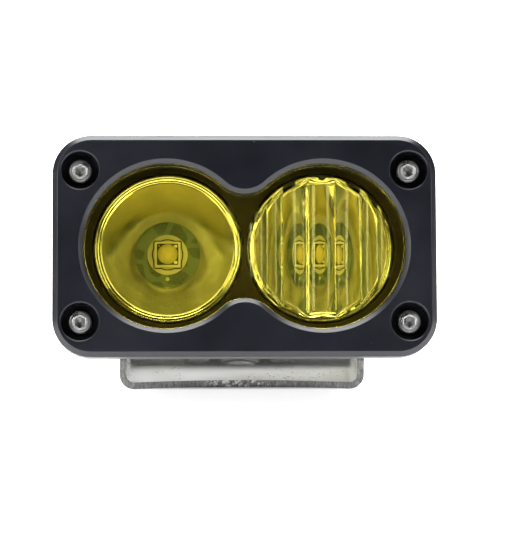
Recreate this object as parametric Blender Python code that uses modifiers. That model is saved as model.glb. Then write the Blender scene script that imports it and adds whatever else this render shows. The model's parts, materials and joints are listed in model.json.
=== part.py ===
"""Twin-LED fog light on a tilting U bracket.

Blender 4.5, metres, +Z up. The lamp faces -Y and stands on its bracket plate, whose underside is z = 0.
The head is modelled round its pivot axis: x across, y to the rear, z up. The pivot empty then turns it
back by REST_TILT. A depth in the head is measured from the front face of the bezel to the rear.
"""
import math

import bmesh
import bpy

MM = 0.001
GAP = 0.3 * MM                    # air left between pieces that touch on the real lamp
LOOSE = 1.0 * MM                  # how far a cutter runs past the face that it opens

# Optics
MOUTH_RADIUS = 13.5 * MM          # mirror at the front of a reflector
THROAT_RADIUS = 6.5 * MM          # hole round the LED at the rear of a reflector
RIM_LAND = 0.9 * MM               # flat rim outside the mirror
RIM_GAP = 1.0 * MM                # between the two reflector rims
REFLECTOR_DEPTH = 10.7 * MM
REFLECTOR_WALL = 1.2 * MM
RIM_THICKNESS = 1.0 * MM
LED_SIZE = 5.0 * MM
LED_THICKNESS = 0.9 * MM
DOME_RADIUS = 2.0 * MM
DOME_HEIGHT = 1.5 * MM
BOARD_THICKNESS = 1.6 * MM
BOARD_SCREW_INSET_X = 2.5 * MM
BOARD_SCREW_INSET_Z = 2.4 * MM
PAD_THICKNESS = 0.5 * MM

# Bezel
LENS_MARGIN = 1.7 * MM            # bezel opening beyond the reflector rim
LOBE_SPREAD = 0.3 * MM            # each lobe of the opening sits this much further out than its reflector
WAIST_FILLET = 6.4 * MM
SIDE_BORDER = 5.9 * MM
TOP_BORDER = 5.45 * MM
BEZEL_CORNER = 7.5 * MM
BEZEL_DEPTH = 6.0 * MM
BEZEL_CHAMFER = 1.0 * MM
LIP_CHAMFER = 0.7 * MM
LIP_DEPTH = 3.0 * MM              # opening wall in front of the lens
LENS_OVERLAP = 1.5 * MM           # lens edge held behind the lip
SCREW_INSET_X = 5.35 * MM         # screw centres from the bezel's sides
SCREW_INSET_Z = 6.85 * MM         # and from its top and bottom
SCREW_RADIUS = 1.25 * MM
SCREW_HEAD_RADIUS = 2.25 * MM
SCREW_HEAD_HEIGHT = 2.5 * MM
SCREW_LENGTH = 6.5 * MM
COUNTERBORE_RADIUS = 3.65 * MM
COUNTERBORE_DEPTH = 4.3 * MM
COUNTERBORE_CHAMFER = 0.25 * MM
FLUTES = 7
FLUTE_DEPTH = 1.2 * MM

# Housing
FLANGE_INSET = 1.0 * MM           # flange smaller than the bezel on every side
FLANGE_THICKNESS = 4.0 * MM
GASKET_THICKNESS = 1.0 * MM
GASKET_WIDTH = 1.2 * MM
MASK_THICKNESS = 0.7 * MM
CHAMBER_WALL = 1.7 * MM
TAPER_START = 1.7 * MM             # behind the flange
TAPER_END = 0.7 * MM               # in front of the chamber's floor
CHAMBER_CORNER = 9.0 * MM
CORNER_TAPER = 3.0 * MM           # how much tighter its corners are at its rear
CHAMBER_TAPER = 5.0 * MM          # how much lower each side of the chamber is at its rear
CHAMBER_WAIST = 4.2 * MM          # and how much narrower
FLOOR_THICKNESS = 2.2 * MM
FIN_THICKNESS = 1.4 * MM
FINS_PER_SIDE = 2
CHEEK_THICKNESS = 2.0 * MM
FIN_STEP = 1.8 * MM               # fins stand out this much from the chamber
FIN_RUN = 7.0 * MM                # straight part of the fins' outline, behind the flange and at the rear
BLOCK_HEIGHT = 25.0 * MM
BLOCK_LENGTH = 18.5 * MM          # rear block behind the chamber
BLOCK_CORNER = 1.2 * MM
BOSS_RADIUS = 6.0 * MM
BACK_WALL = 3.0 * MM
SPINE_WALL = 2.0 * MM
SCREW_BOSS_RADIUS = 3.4 * MM
SCREW_BOSS_LENGTH = 2.6 * MM

# Driver electronics in the well behind the LED board
WELL_WIDTH = 19.0 * MM
WELL_HEIGHT = 20.4 * MM
WELL_NECK = 12.0 * MM
LEDGE_DEPTH = 8.2 * MM            # from the chamber floor to the ledge that carries the driver board
DRIVER_THICKNESS = 1.2 * MM
SMALL_SCREW_RADIUS = 1.0 * MM
SMALL_HEAD_RADIUS = 1.75 * MM
SMALL_HEAD_HEIGHT = 1.3 * MM
SMALL_SCREW_LENGTH = 4.0 * MM
INDUCTOR_RADIUS = 4.0 * MM
INDUCTOR_HEIGHT = 3.8 * MM
CAPACITOR_RADIUS = 2.0 * MM
CAPACITOR_HEIGHT = 5.5 * MM
CHIP_SIZE = 5.0 * MM
CHIP_HEIGHT = 1.0 * MM
TERMINAL_WIDTH = 8.0 * MM
TERMINAL_HEIGHT = 5.0 * MM
TERMINAL_DEPTH = 5.0 * MM
PIN_RADIUS = 0.5 * MM
PIN_SPACING = 5.0 * MM
PIN_INSET = 2.5 * MM
PART_INSET = 1.5 * MM              # tall parts, in from the driver board's upper edge
TERMINAL_INSET = 1.0 * MM

# Cable gland and vent
CABLE_RADIUS = 2.75 * MM
SPIGOT_RADIUS = 4.0 * MM
NECK_STEP = 0.4 * MM
GLAND_RADIUS = 5.8 * MM
GLAND_NUT_RADIUS = 5.9 * MM
GLAND_COLLAR = 2.0 * MM
GLAND_NECK = 3.4 * MM
GLAND_NUT_LENGTH = 8.0 * MM
GLAND_END_WALL = 1.8 * MM
GLAND_GASKET_THICKNESS = 0.8 * MM
LOCKNUT_RADIUS = 5.5 * MM
LOCKNUT_THICKNESS = 2.1 * MM
VENT_HEIGHT = 8.9 * MM            # above the gland's axis
VENT_STEM_RADIUS = 1.7 * MM
VENT_CAP_RADIUS = 2.4 * MM
VENT_CAP_THICKNESS = 1.4 * MM

# Bracket and pivot
SHEET = 1.4 * MM
BRACKET_WIDTH = 49.0 * MM
BRACKET_DEPTH = 30.0 * MM
BEND_RADIUS = 1.6 * MM            # inside of the bends
SCALLOP_DEPTH = 1.8 * MM          # hollow of the plate's front edge
SHOULDER_HEIGHT = 7.2 * MM        # arms are as deep as the plate up to here
SHOULDER_FILLET = 2.0 * MM
ARM_RADIUS = 7.0 * MM             # round top of each arm, about the pivot
LEVEL_CLEARANCE = 0.75 * MM       # under the bezel when the head is level
ARM_CLEARANCE = 1.0 * MM          # between the arms' round tops and the chamber
MOUNT_HOLE_RADIUS = 4.0 * MM
SIDE_HOLE_RADIUS = 2.5 * MM
SIDE_HOLE_OFFSET = 8.8 * MM
PIVOT_SHANK_RADIUS = 2.5 * MM
PIVOT_SOCKET_RADIUS = 1.73 * MM
PIVOT_SOCKET_DEPTH = 1.6 * MM
PIVOT_HEAD_EDGE = 1.2 * MM
PIVOT_HEAD_RADIUS = 4.75 * MM
PIVOT_HEAD_HEIGHT = 2.8 * MM
FRICTION_WASHER_RADIUS = 6.0 * MM
FRICTION_WASHER_THICKNESS = 0.7 * MM
FLAT_WASHER_RADIUS = 5.0 * MM
FLAT_WASHER_THICKNESS = 1.0 * MM
LOCK_WASHER_RADIUS = 4.4 * MM
LOCK_WASHER_THICKNESS = 1.2 * MM
LOCK_WASHER_SPLIT = 1.0 * MM
REST_TILT = math.radians(22.3)    # nose up from level

# Sizes that follow
RIM_RADIUS = MOUTH_RADIUS + RIM_LAND
OPTIC_X = RIM_RADIUS + RIM_GAP / 2
LOBE_X = OPTIC_X + LOBE_SPREAD
LOBE_RADIUS = RIM_RADIUS + LENS_MARGIN
BEZEL_WIDTH = 2 * (LOBE_X + LOBE_RADIUS + SIDE_BORDER)
BEZEL_HEIGHT = 2 * (LOBE_RADIUS + TOP_BORDER)
PIVOT_HEIGHT = BEZEL_HEIGHT / 2 + LEVEL_CLEARANCE
SCREW_X = BEZEL_WIDTH / 2 - SCREW_INSET_X
SCREW_Z = BEZEL_HEIGHT / 2 - SCREW_INSET_Z

LENS_FRONT = LIP_DEPTH + GAP
LENS_REAR = BEZEL_DEPTH
FLANGE_FRONT = BEZEL_DEPTH + GAP
FLANGE_REAR = FLANGE_FRONT + FLANGE_THICKNESS
POCKET_FLOOR = LENS_REAR + GASKET_THICKNESS + 2 * GAP
RIM_FRONT = POCKET_FLOOR - RIM_THICKNESS
THROAT = RIM_FRONT + REFLECTOR_DEPTH
BOARD_FRONT = THROAT + GAP
BOARD_REAR = BOARD_FRONT + BOARD_THICKNESS
FLOOR = BOARD_REAR + PAD_THICKNESS + 2 * GAP
CHAMBER_REAR = FLOOR + FLOOR_THICKNESS
BLOCK_REAR = CHAMBER_REAR + BLOCK_LENGTH
PIVOT_DEPTH = CHAMBER_REAR + ARM_RADIUS + ARM_CLEARANCE
LEDGE = FLOOR + LEDGE_DEPTH
WELL_END = BLOCK_REAR - BACK_WALL

INNER_X = OPTIC_X + RIM_RADIUS + 1.3 * GAP
INNER_Z = RIM_RADIUS + 1.3 * GAP
OUTER_X = INNER_X + CHAMBER_WALL
OUTER_Z = INNER_Z + CHAMBER_WALL
BOARD_X = INNER_X - CHAMBER_WAIST - GAP
BOARD_Z = INNER_Z - CHAMBER_TAPER - GAP
BOARD_CORNER = CHAMBER_CORNER - CHAMBER_WALL - CORNER_TAPER
BOARD_SCREW_X = BOARD_X - BOARD_SCREW_INSET_X
BOARD_SCREW_Z = BOARD_Z - BOARD_SCREW_INSET_Z
SPINE_X = WELL_WIDTH / 2 + SPINE_WALL
DRIVER_SCREW_X = (WELL_WIDTH + WELL_NECK) / 4

COLLAR_FRONT = BLOCK_REAR + GLAND_GASKET_THICKNESS + 2 * GAP
COLLAR_REAR = COLLAR_FRONT + GLAND_COLLAR
NECK_END = COLLAR_REAR + GLAND_NECK
GLAND_NUT_FRONT = COLLAR_REAR + GAP
GLAND_END = GLAND_NUT_FRONT + GLAND_NUT_LENGTH

ARM_OUTSIDE = BRACKET_WIDTH / 2
ARM_INSIDE = ARM_OUTSIDE - SHEET
BOSS_FACE = ARM_INSIDE - FRICTION_WASHER_THICKNESS - 2 * GAP
FIN_SPACE = ((BOSS_FACE - CHEEK_THICKNESS - SPINE_X - FINS_PER_SIDE * FIN_THICKNESS)
             / (FINS_PER_SIDE + 1))
FLAT_WASHER_FACE = ARM_OUTSIDE + GAP
LOCK_WASHER_FACE = FLAT_WASHER_FACE + FLAT_WASHER_THICKNESS + GAP
PIVOT_HEAD_FACE = LOCK_WASHER_FACE + LOCK_WASHER_THICKNESS + GAP
PIVOT_BORE_RADIUS = PIVOT_SHANK_RADIUS + GAP

FRONT_REACH = (PIVOT_DEPTH * math.cos(REST_TILT)
               + (BEZEL_HEIGHT / 2 - BEZEL_CHAMFER) * math.sin(REST_TILT))
REAR_REACH = ((GLAND_END - PIVOT_DEPTH) * math.cos(REST_TILT)
              + GLAND_NUT_RADIUS * math.sin(REST_TILT))
PIVOT_Y = (FRONT_REACH - REAR_REACH) / 2      # centres the whole lamp over the origin

FACING = (math.pi / 2, 0, 0)      # an outline's x and y become x and z, and its front looks along -y
SIDEWAYS = (math.pi / 2, 0, math.pi / 2)      # an outline's x and y become y and z
SIDES = (("left", -1), ("right", 1))
CORNERS = (("upper_left", -1, 1), ("upper_right", 1, 1), ("lower_left", -1, -1), ("lower_right", 1, -1))


# Outlines, as lists of points in a plane

def arc(x, y, radius, start, end, steps):
    """Points from one angle to the other, in degrees, with both ends."""
    angles = [math.radians(start + (end - start) * i / steps) for i in range(steps + 1)]
    return [(x + radius * math.cos(a), y + radius * math.sin(a)) for a in angles]


def rounded_box(half_x, half_y, corner, steps=5):
    x, y = half_x - corner, half_y - corner
    return (arc(x, y, corner, 0, 90, steps) + arc(-x, y, corner, 90, 180, steps)
            + arc(-x, -y, corner, 180, 270, steps) + arc(x, -y, corner, 270, 360, steps))


def figure_eight(grow=0.0, steps=26):
    """The bezel opening: two lobes joined by a filleted waist, moved outwards by grow."""
    radius, fillet = LOBE_RADIUS + grow, WAIST_FILLET - grow
    reach = math.sqrt((LOBE_RADIUS + WAIST_FILLET) ** 2 - LOBE_X ** 2)
    meet = math.degrees(math.atan2(reach, LOBE_X))
    right = arc(LOBE_X, 0, radius, meet - 180, 180 - meet, steps)
    top = arc(0, reach, fillet, -meet, meet - 180, 6)
    left = arc(-LOBE_X, 0, radius, meet, 360 - meet, steps)
    bottom = arc(0, -reach, fillet, 180 - meet, meet, 6)
    return right + top[1:-1] + left + bottom[1:-1]


# Shapes

def back(depth):
    """A depth behind the bezel's face, as y in the head."""
    return depth - PIVOT_DEPTH


def add(name, mesh, place=(0, 0, 0), turn=(0, 0, 0), finish=None, parent=None):
    """An object in the lamp, or with no finish a cutter that only shapes others."""
    item = bpy.data.objects.new(name, mesh)
    item.location, item.rotation_euler = place, turn
    item.parent = parent or pivot
    if finish:
        mesh.materials.append(finish)
        lamp.objects.link(item)
    else:
        item.hide_render = True
        item.display_type = "WIRE"
        cutters.objects.link(item)
    return item


def extruded(name, outlines, thickness, bevel=0.0):
    """A closed solid from flat outlines in XY, with half its thickness on each side of them."""
    curve = bpy.data.curves.new(name, "CURVE")
    curve.dimensions = "2D"
    curve.fill_mode = "BOTH"
    curve.extrude = thickness / 2 - bevel
    curve.bevel_depth = bevel
    curve.bevel_resolution = 0
    for outline in outlines:
        spline = curve.splines.new("POLY")
        spline.points.add(len(outline) - 1)
        for point, (x, y) in zip(spline.points, outline):
            point.co = (x, y, 0, 1)
        spline.use_cyclic_u = True
    guide = bpy.data.objects.new(name, curve)
    cutters.objects.link(guide)
    graph = bpy.context.evaluated_depsgraph_get()
    mesh = bpy.data.meshes.new_from_object(guide.evaluated_get(graph))
    bpy.data.objects.remove(guide)
    bpy.data.curves.remove(curve)
    shape = bmesh.new()
    shape.from_mesh(mesh)
    bmesh.ops.remove_doubles(shape, verts=shape.verts, dist=0.001 * MM)
    shape.to_mesh(mesh)
    shape.free()
    mesh.name = name
    return mesh


def plate(name, outlines, front, rear, finish=None, bevel=0.0):
    """A plate facing forward between two depths."""
    mesh = extruded(name, outlines, rear - front, bevel)
    return add(name, mesh, (0, back((front + rear) / 2), 0), FACING, finish)


def loft(name, sections, finish=None):
    """A closed solid through outlines of equal length, each at its depth."""
    shape = bmesh.new()
    rings = [[shape.verts.new((x, back(depth), z)) for x, z in outline] for outline, depth in sections]
    count = len(rings[0])
    for near, far in zip(rings, rings[1:]):
        for i in range(count):
            j = (i + 1) % count
            shape.faces.new((near[i], near[j], far[j], far[i]))
    shape.faces.new(rings[0][::-1])
    shape.faces.new(rings[-1])
    bmesh.ops.recalc_face_normals(shape, faces=shape.faces)
    mesh = bpy.data.meshes.new(name)
    shape.to_mesh(mesh)
    shape.free()
    return add(name, mesh, finish=finish)


def turned(name, profile, place, turn, finish=None, steps=24, ring=False):
    """A turned solid about the local Z axis, from a profile of radii and heights, top to bottom."""
    mesh = bpy.data.meshes.new(name)
    last = len(profile) - 1
    edges = [(i, i + 1) for i in range(last)]
    if ring:
        edges.append((last, 0))
    mesh.from_pydata([(radius, 0, height) for radius, height in profile], edges, [])
    item = add(name, mesh, place, turn, finish)
    screw = item.modifiers.new("Turn", "SCREW")
    screw.steps = screw.render_steps = steps
    screw.use_merge_vertices = True
    screw.merge_threshold = 0.001 * MM
    return item


def turned_forward(name, profile, x, z, finish=None, steps=24, ring=False):
    """A turned piece of the head whose axis runs front to rear, from radii and depths."""
    points = [(radius, -depth) for radius, depth in profile]
    return turned(name, points, (x, back(0), z), FACING, finish, steps, ring)


def turned_outward(name, profile, side, finish=None, steps=24, ring=False):
    """A turned piece on the pivot axis, from radii and distances to the middle, outermost first."""
    return turned(name, profile, (0, 0, 0), (0, side * math.pi / 2, 0), finish, steps, ring)


def washer(name, inner, outer, face, thickness, side, finish, steps=24):
    """A flat ring on the pivot axis, from the distance of its inner face to the middle."""
    top = face + thickness
    return turned_outward(name, [(outer, top), (outer, face), (inner, face), (inner, top)],
                          side, finish, steps, ring=True)


def cylinder(name, radius, length, place, turn, finish=None, steps=20, parent=None):
    """A cylinder centred on its place, along its own Z axis."""
    mesh = bpy.data.meshes.new(name)
    shape = bmesh.new()
    bmesh.ops.create_cone(shape, cap_ends=True, segments=steps, radius1=radius, radius2=radius, depth=length)
    shape.to_mesh(mesh)
    shape.free()
    return add(name, mesh, place, turn, finish, parent)


def bore(name, radius, front, rear, x=0.0, z=0.0, finish=None, steps=16):
    """A cylinder or a round hole from front to rear of the head, between two depths."""
    return cylinder(name, radius, rear - front, (x, back((front + rear) / 2), z), FACING, finish, steps)


def box(name, size, place, finish=None):
    mesh = bpy.data.meshes.new(name)
    shape = bmesh.new()
    bmesh.ops.create_cube(shape, size=1.0)
    bmesh.ops.scale(shape, vec=size, verts=shape.verts)
    shape.to_mesh(mesh)
    shape.free()
    return add(name, mesh, place, (0, 0, 0), finish)


def slab(name, half_x, half_z, front, rear, x=0.0, z=0.0, finish=None):
    """A plain box of the head between two depths."""
    return box(name, (2 * half_x, rear - front, 2 * half_z), (x, back((front + rear) / 2), z), finish)


def combine(item, other, operation="DIFFERENCE"):
    step = item.modifiers.new(other.name, "BOOLEAN")
    step.operation = operation
    step.solver = "EXACT"
    step.object = other


def chamfer_front(item, width):
    """Bevels the front outline of a plate."""
    shape = bmesh.new()
    shape.from_mesh(item.data)
    bmesh.ops.dissolve_limit(shape, angle_limit=0.01, verts=shape.verts, edges=shape.edges)
    weight = shape.edges.layers.float.new("bevel_weight_edge")
    for edge in shape.edges:
        if min(vert.co.z for vert in edge.verts) > 0:
            edge[weight] = 1.0
    shape.to_mesh(item.data)
    shape.free()
    bevel = item.modifiers.new("Front edge", "BEVEL")
    bevel.limit_method = "WEIGHT"
    bevel.width = width
    bevel.segments = 2


def finish_of(name, colour, roughness, metallic=0.0):
    """A plain Principled material."""
    made = bpy.data.materials.new(name)
    made.use_nodes = True
    shader = made.node_tree.nodes["Principled BSDF"]
    shader.inputs["Base Color"].default_value = (*colour, 1.0)
    shader.inputs["Roughness"].default_value = roughness
    shader.inputs["Metallic"].default_value = metallic
    made.diffuse_color = (*colour, 1.0)
    return made


# Pieces

def make_bezel():
    black = finish_of("bezel_black", (0.018, 0.019, 0.026), 0.45, 0.3)
    bezel = plate("bezel", [rounded_box(BEZEL_WIDTH / 2, BEZEL_HEIGHT / 2, BEZEL_CORNER)],
                  0, BEZEL_DEPTH, black)
    chamfer_front(bezel, BEZEL_CHAMFER)
    combine(bezel, plate("opening", [figure_eight()], -LOOSE, BEZEL_DEPTH + LOOSE))
    combine(bezel, plate("opening_lip", [figure_eight()], -LIP_CHAMFER, LIP_CHAMFER, bevel=LIP_CHAMFER))
    combine(bezel, plate("lens_seat", [figure_eight(LENS_OVERLAP + GAP)], LIP_DEPTH, BEZEL_DEPTH + LOOSE))
    hole = SCREW_RADIUS + GAP
    wide = COUNTERBORE_RADIUS + COUNTERBORE_CHAMFER
    profile = [(0, -LOOSE), (wide, -LOOSE), (wide, 0), (COUNTERBORE_RADIUS, COUNTERBORE_CHAMFER),
               (COUNTERBORE_RADIUS, COUNTERBORE_DEPTH), (hole, COUNTERBORE_DEPTH),
               (hole, BEZEL_DEPTH + LOOSE), (0, BEZEL_DEPTH + LOOSE)]
    for corner, x, z in CORNERS:
        combine(bezel, turned_forward("counterbore_" + corner, profile, x * SCREW_X, z * SCREW_Z))


def make_bezel_screws():
    steel = finish_of("screw_steel", (0.55, 0.55, 0.53), 0.3, 1.0)
    seat = COUNTERBORE_DEPTH - GAP
    top = seat - SCREW_HEAD_HEIGHT
    edge = 0.3 * MM
    profile = [(0, top), (SCREW_HEAD_RADIUS - edge, top), (SCREW_HEAD_RADIUS, top + edge),
               (SCREW_HEAD_RADIUS, seat), (SCREW_RADIUS, seat), (SCREW_RADIUS, seat + SCREW_LENGTH),
               (0, seat + SCREW_LENGTH)]
    socket, socket_depth = 1.15 * MM, 1.2 * MM
    for corner, x, z in CORNERS:
        screw = turned_forward("bezel_screw_" + corner, profile, x * SCREW_X, z * SCREW_Z, steel, 16)
        combine(screw, bore("socket_" + corner, socket, top - LOOSE, top + socket_depth,
                            x * SCREW_X, z * SCREW_Z, steps=6))


def make_lens():
    """The amber lens: clear over the left lobe, grooved down its rear into flutes over the right one."""
    amber = finish_of("amber_polycarbonate", (0.75, 0.52, 0.02), 0.08)
    lens = plate("lens", [figure_eight(LENS_OVERLAP)], LENS_FRONT, LENS_REAR, amber)
    pitch = 2 * MOUTH_RADIUS / FLUTES
    radius = pitch * 0.45
    for i in range(FLUTES):
        x = (i + 0.5) * pitch - MOUTH_RADIUS
        length = 2 * math.sqrt(MOUTH_RADIUS ** 2 - x ** 2)
        groove = cylinder("flute_%d" % (i + 1), radius, length,
                          (OPTIC_X + x, back(LENS_REAR + radius - FLUTE_DEPTH), 0), (0, 0, 0), steps=10)
        combine(lens, groove)


def make_lens_gasket():
    rubber = finish_of("black_rubber", (0.012, 0.011, 0.010), 0.8)
    outer = figure_eight(LENS_OVERLAP)
    inner = figure_eight(LENS_OVERLAP - GASKET_WIDTH)
    front = LENS_REAR + GAP
    plate("lens_gasket", [outer, inner], front, front + GASKET_THICKNESS, rubber)


def make_mask():
    """The black plate that closes the space round and between the reflector rims."""
    black = finish_of("mask_black", (0.015, 0.012, 0.010), 0.5)
    outline = figure_eight(LENS_OVERLAP - GASKET_WIDTH - GAP)
    front = LENS_REAR + GAP
    mask = plate("reflector_mask", [outline], front, front + MASK_THICKNESS, black)
    for label, side in SIDES:
        combine(mask, bore("rim_hole_" + label, RIM_RADIUS + GAP, front - LOOSE, POCKET_FLOOR + LOOSE,
                           side * OPTIC_X, steps=40))


def make_reflectors():
    mirror = finish_of("vacuum_metallised", (0.85, 0.84, 0.80), 0.08, 1.0)
    steps = 6
    focal = (MOUTH_RADIUS ** 2 - THROAT_RADIUS ** 2) / REFLECTOR_DEPTH
    apex = RIM_FRONT + MOUTH_RADIUS ** 2 / focal
    radii = [MOUTH_RADIUS + (THROAT_RADIUS - MOUTH_RADIUS) * i / steps for i in range(steps + 1)]
    inside = [(radius, apex - radius ** 2 / focal) for radius in radii]
    outside = [(radius + REFLECTOR_WALL, depth) for radius, depth in inside
               if depth > RIM_FRONT + RIM_THICKNESS]
    under = RIM_FRONT + RIM_THICKNESS
    shoulder = math.sqrt((apex - under) * focal) + REFLECTOR_WALL
    rim = [(RIM_RADIUS, RIM_FRONT), (RIM_RADIUS, under)]
    if shoulder < RIM_RADIUS:
        rim.append((shoulder, under))
    for label, side in SIDES:
        turned_forward(label + "_reflector", rim + outside + inside[::-1], side * OPTIC_X, 0,
                       mirror, 32, ring=True)


def make_leds():
    ceramic = finish_of("led_ceramic", (0.75, 0.73, 0.62), 0.5)
    silicone = finish_of("led_silicone", (0.85, 0.75, 0.25), 0.15)
    rear = BOARD_FRONT - GAP
    front = rear - LED_THICKNESS
    base = front - GAP
    dome = [(DOME_RADIUS * math.sin(math.radians(a)), base - DOME_HEIGHT * math.cos(math.radians(a)))
            for a in (0, 22, 45, 67, 90)] + [(0, base)]
    for label, side in SIDES:
        slab(label + "_led_package", LED_SIZE / 2, LED_SIZE / 2, front, rear, side * OPTIC_X, 0, ceramic)
        turned_forward(label + "_led_dome", dome, side * OPTIC_X, 0, silicone, 16)


def small_screw(name, x, z, face, finish):
    """A pan-head screw whose head rests in front of a face at that depth."""
    seat = face - GAP
    top = seat - SMALL_HEAD_HEIGHT
    tip = face + SMALL_SCREW_LENGTH
    turned_forward(name, [(0, top), (SMALL_HEAD_RADIUS, top), (SMALL_HEAD_RADIUS, seat),
                          (SMALL_SCREW_RADIUS, seat), (SMALL_SCREW_RADIUS, tip), (0, tip)],
                   x, z, finish, 12)


def make_led_board():
    """The LED board, its screws and the thermal pads between it and the housing floor."""
    mask = finish_of("board_green", (0.20, 0.27, 0.10), 0.4)
    grey = finish_of("thermal_silicone", (0.30, 0.32, 0.36), 0.7)
    steel = finish_of("small_screw_steel", (0.6, 0.6, 0.58), 0.35, 1.0)
    clear = SMALL_SCREW_RADIUS + GAP
    board = plate("led_board", [rounded_box(BOARD_X, BOARD_Z, BOARD_CORNER, 3)], BOARD_FRONT, BOARD_REAR,
                  mask)
    edge = WELL_WIDTH / 2 + GAP
    front = BOARD_REAR + GAP
    half_x = (BOARD_X - GAP - edge) / 2
    pads = {}
    for label, side in SIDES:
        outline = [(x + side * (edge + half_x), z)
                   for x, z in rounded_box(half_x, BOARD_Z - GAP, BOARD_CORNER, 3)]
        pads[side] = plate(label + "_thermal_pad", [outline], front, front + PAD_THICKNESS, grey)
    for corner, x, z in CORNERS:
        place = (x * BOARD_SCREW_X, z * BOARD_SCREW_Z)
        hole = bore("board_hole_" + corner, clear, BOARD_FRONT - LOOSE,
                    BOARD_FRONT + SMALL_SCREW_LENGTH + GAP, *place, steps=12)
        combine(board, hole)
        combine(pads[x], hole)
        small_screw("board_screw_" + corner, *place, BOARD_FRONT, steel)


def make_driver():
    """The driver board on its ledge in the well, with what it carries."""
    green = finish_of("driver_green", (0.02, 0.16, 0.07), 0.4)
    dark = finish_of("component_black", (0.02, 0.02, 0.02), 0.5)
    ferrite = finish_of("ferrite_grey", (0.10, 0.10, 0.11), 0.6)
    can = finish_of("capacitor_sleeve", (0.05, 0.05, 0.12), 0.35)
    jade = finish_of("terminal_green", (0.03, 0.30, 0.12), 0.45)
    tinned = finish_of("tinned_pin", (0.70, 0.68, 0.62), 0.3, 1.0)
    steel = finish_of("driver_screw_steel", (0.6, 0.6, 0.58), 0.35, 1.0)
    rear = LEDGE - GAP
    front = rear - DRIVER_THICKNESS
    half_x, half_z = WELL_WIDTH / 2 - GAP, WELL_HEIGHT / 2 - GAP
    board = slab("driver_board", half_x, half_z, front, rear, finish=green)
    for label, side in SIDES:
        x = side * DRIVER_SCREW_X
        combine(board, bore("driver_hole_" + label, SMALL_SCREW_RADIUS + GAP, front - LOOSE, rear + LOOSE, x,
                            steps=12))
        small_screw("driver_screw_" + label, x, 0, front, steel)
        bore("capacitor_" + label, CAPACITOR_RADIUS, rear + GAP, rear + GAP + CAPACITOR_HEIGHT,
             side * (CAPACITOR_RADIUS + 2 * GAP), half_z - CAPACITOR_RADIUS - PART_INSET, can, 16)
        bore("jumper_pin_" + label, PIN_RADIUS, BOARD_REAR + GAP, front - GAP,
             side * PIN_SPACING / 2, -half_z + PIN_INSET, tinned, 8)
    bore("inductor", INDUCTOR_RADIUS, front - GAP - INDUCTOR_HEIGHT, front - GAP,
         0, half_z - INDUCTOR_RADIUS - PART_INSET, ferrite, 20)
    slab("driver_chip", CHIP_SIZE / 2, CHIP_SIZE / 2, rear + GAP, rear + GAP + CHIP_HEIGHT, finish=dark)
    slab("terminal_block", TERMINAL_WIDTH / 2, TERMINAL_HEIGHT / 2, rear + GAP, rear + GAP + TERMINAL_DEPTH,
         0, -half_z + TERMINAL_HEIGHT / 2 + TERMINAL_INSET, jade)


def chamber_sections(half_x, half_z, corner, front, bend, rear):
    """Outlines of the chamber: straight to the bend, tapering to the floor, then straight again."""
    wide = rounded_box(half_x, half_z, corner)
    narrow = rounded_box(half_x - CHAMBER_WAIST, half_z - CHAMBER_TAPER, corner - CORNER_TAPER)
    return [(wide, front), (wide, bend), (narrow, FLOOR - TAPER_END), (narrow, rear)]


def make_fins():
    """Upright fins, cheeks and the middle spine, cut to one side outline."""
    bars = [(-SPINE_X, SPINE_X)]
    for side in (-1, 1):
        for i in range(FINS_PER_SIDE):
            inner = SPINE_X + FIN_SPACE + i * (FIN_THICKNESS + FIN_SPACE)
            bars.append((side * inner, side * (inner + FIN_THICKNESS)))
        bars.append((side * (BOSS_FACE - CHEEK_THICKNESS), side * BOSS_FACE))
    near, far = back(FLANGE_FRONT + LOOSE), back(BLOCK_REAR)
    outlines = [[(a, near), (b, near), (b, far), (a, far)] for a, b in bars]
    tall = OUTER_Z + FIN_STEP
    fins = add("fins", extruded("fins", outlines, 2 * tall + 2 * LOOSE))
    bend, rise, low = back(FLANGE_REAR + FIN_RUN), back(BLOCK_REAR - FIN_RUN), BLOCK_HEIGHT / 2
    corner = BLOCK_CORNER
    profile = ([(near - LOOSE, -tall), (bend, -tall), (rise, -low)]
               + arc(far - corner, corner - low, corner, -90, 0, 3)
               + arc(far - corner, low - corner, corner, 0, 90, 3)
               + [(rise, low), (bend, tall), (near - LOOSE, tall)])
    side_shape = add("fin_profile", extruded("fin_profile", [profile], 2 * BOSS_FACE + 2 * LOOSE),
                     turn=SIDEWAYS)
    combine(fins, side_shape, "INTERSECT")
    return fins


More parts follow.
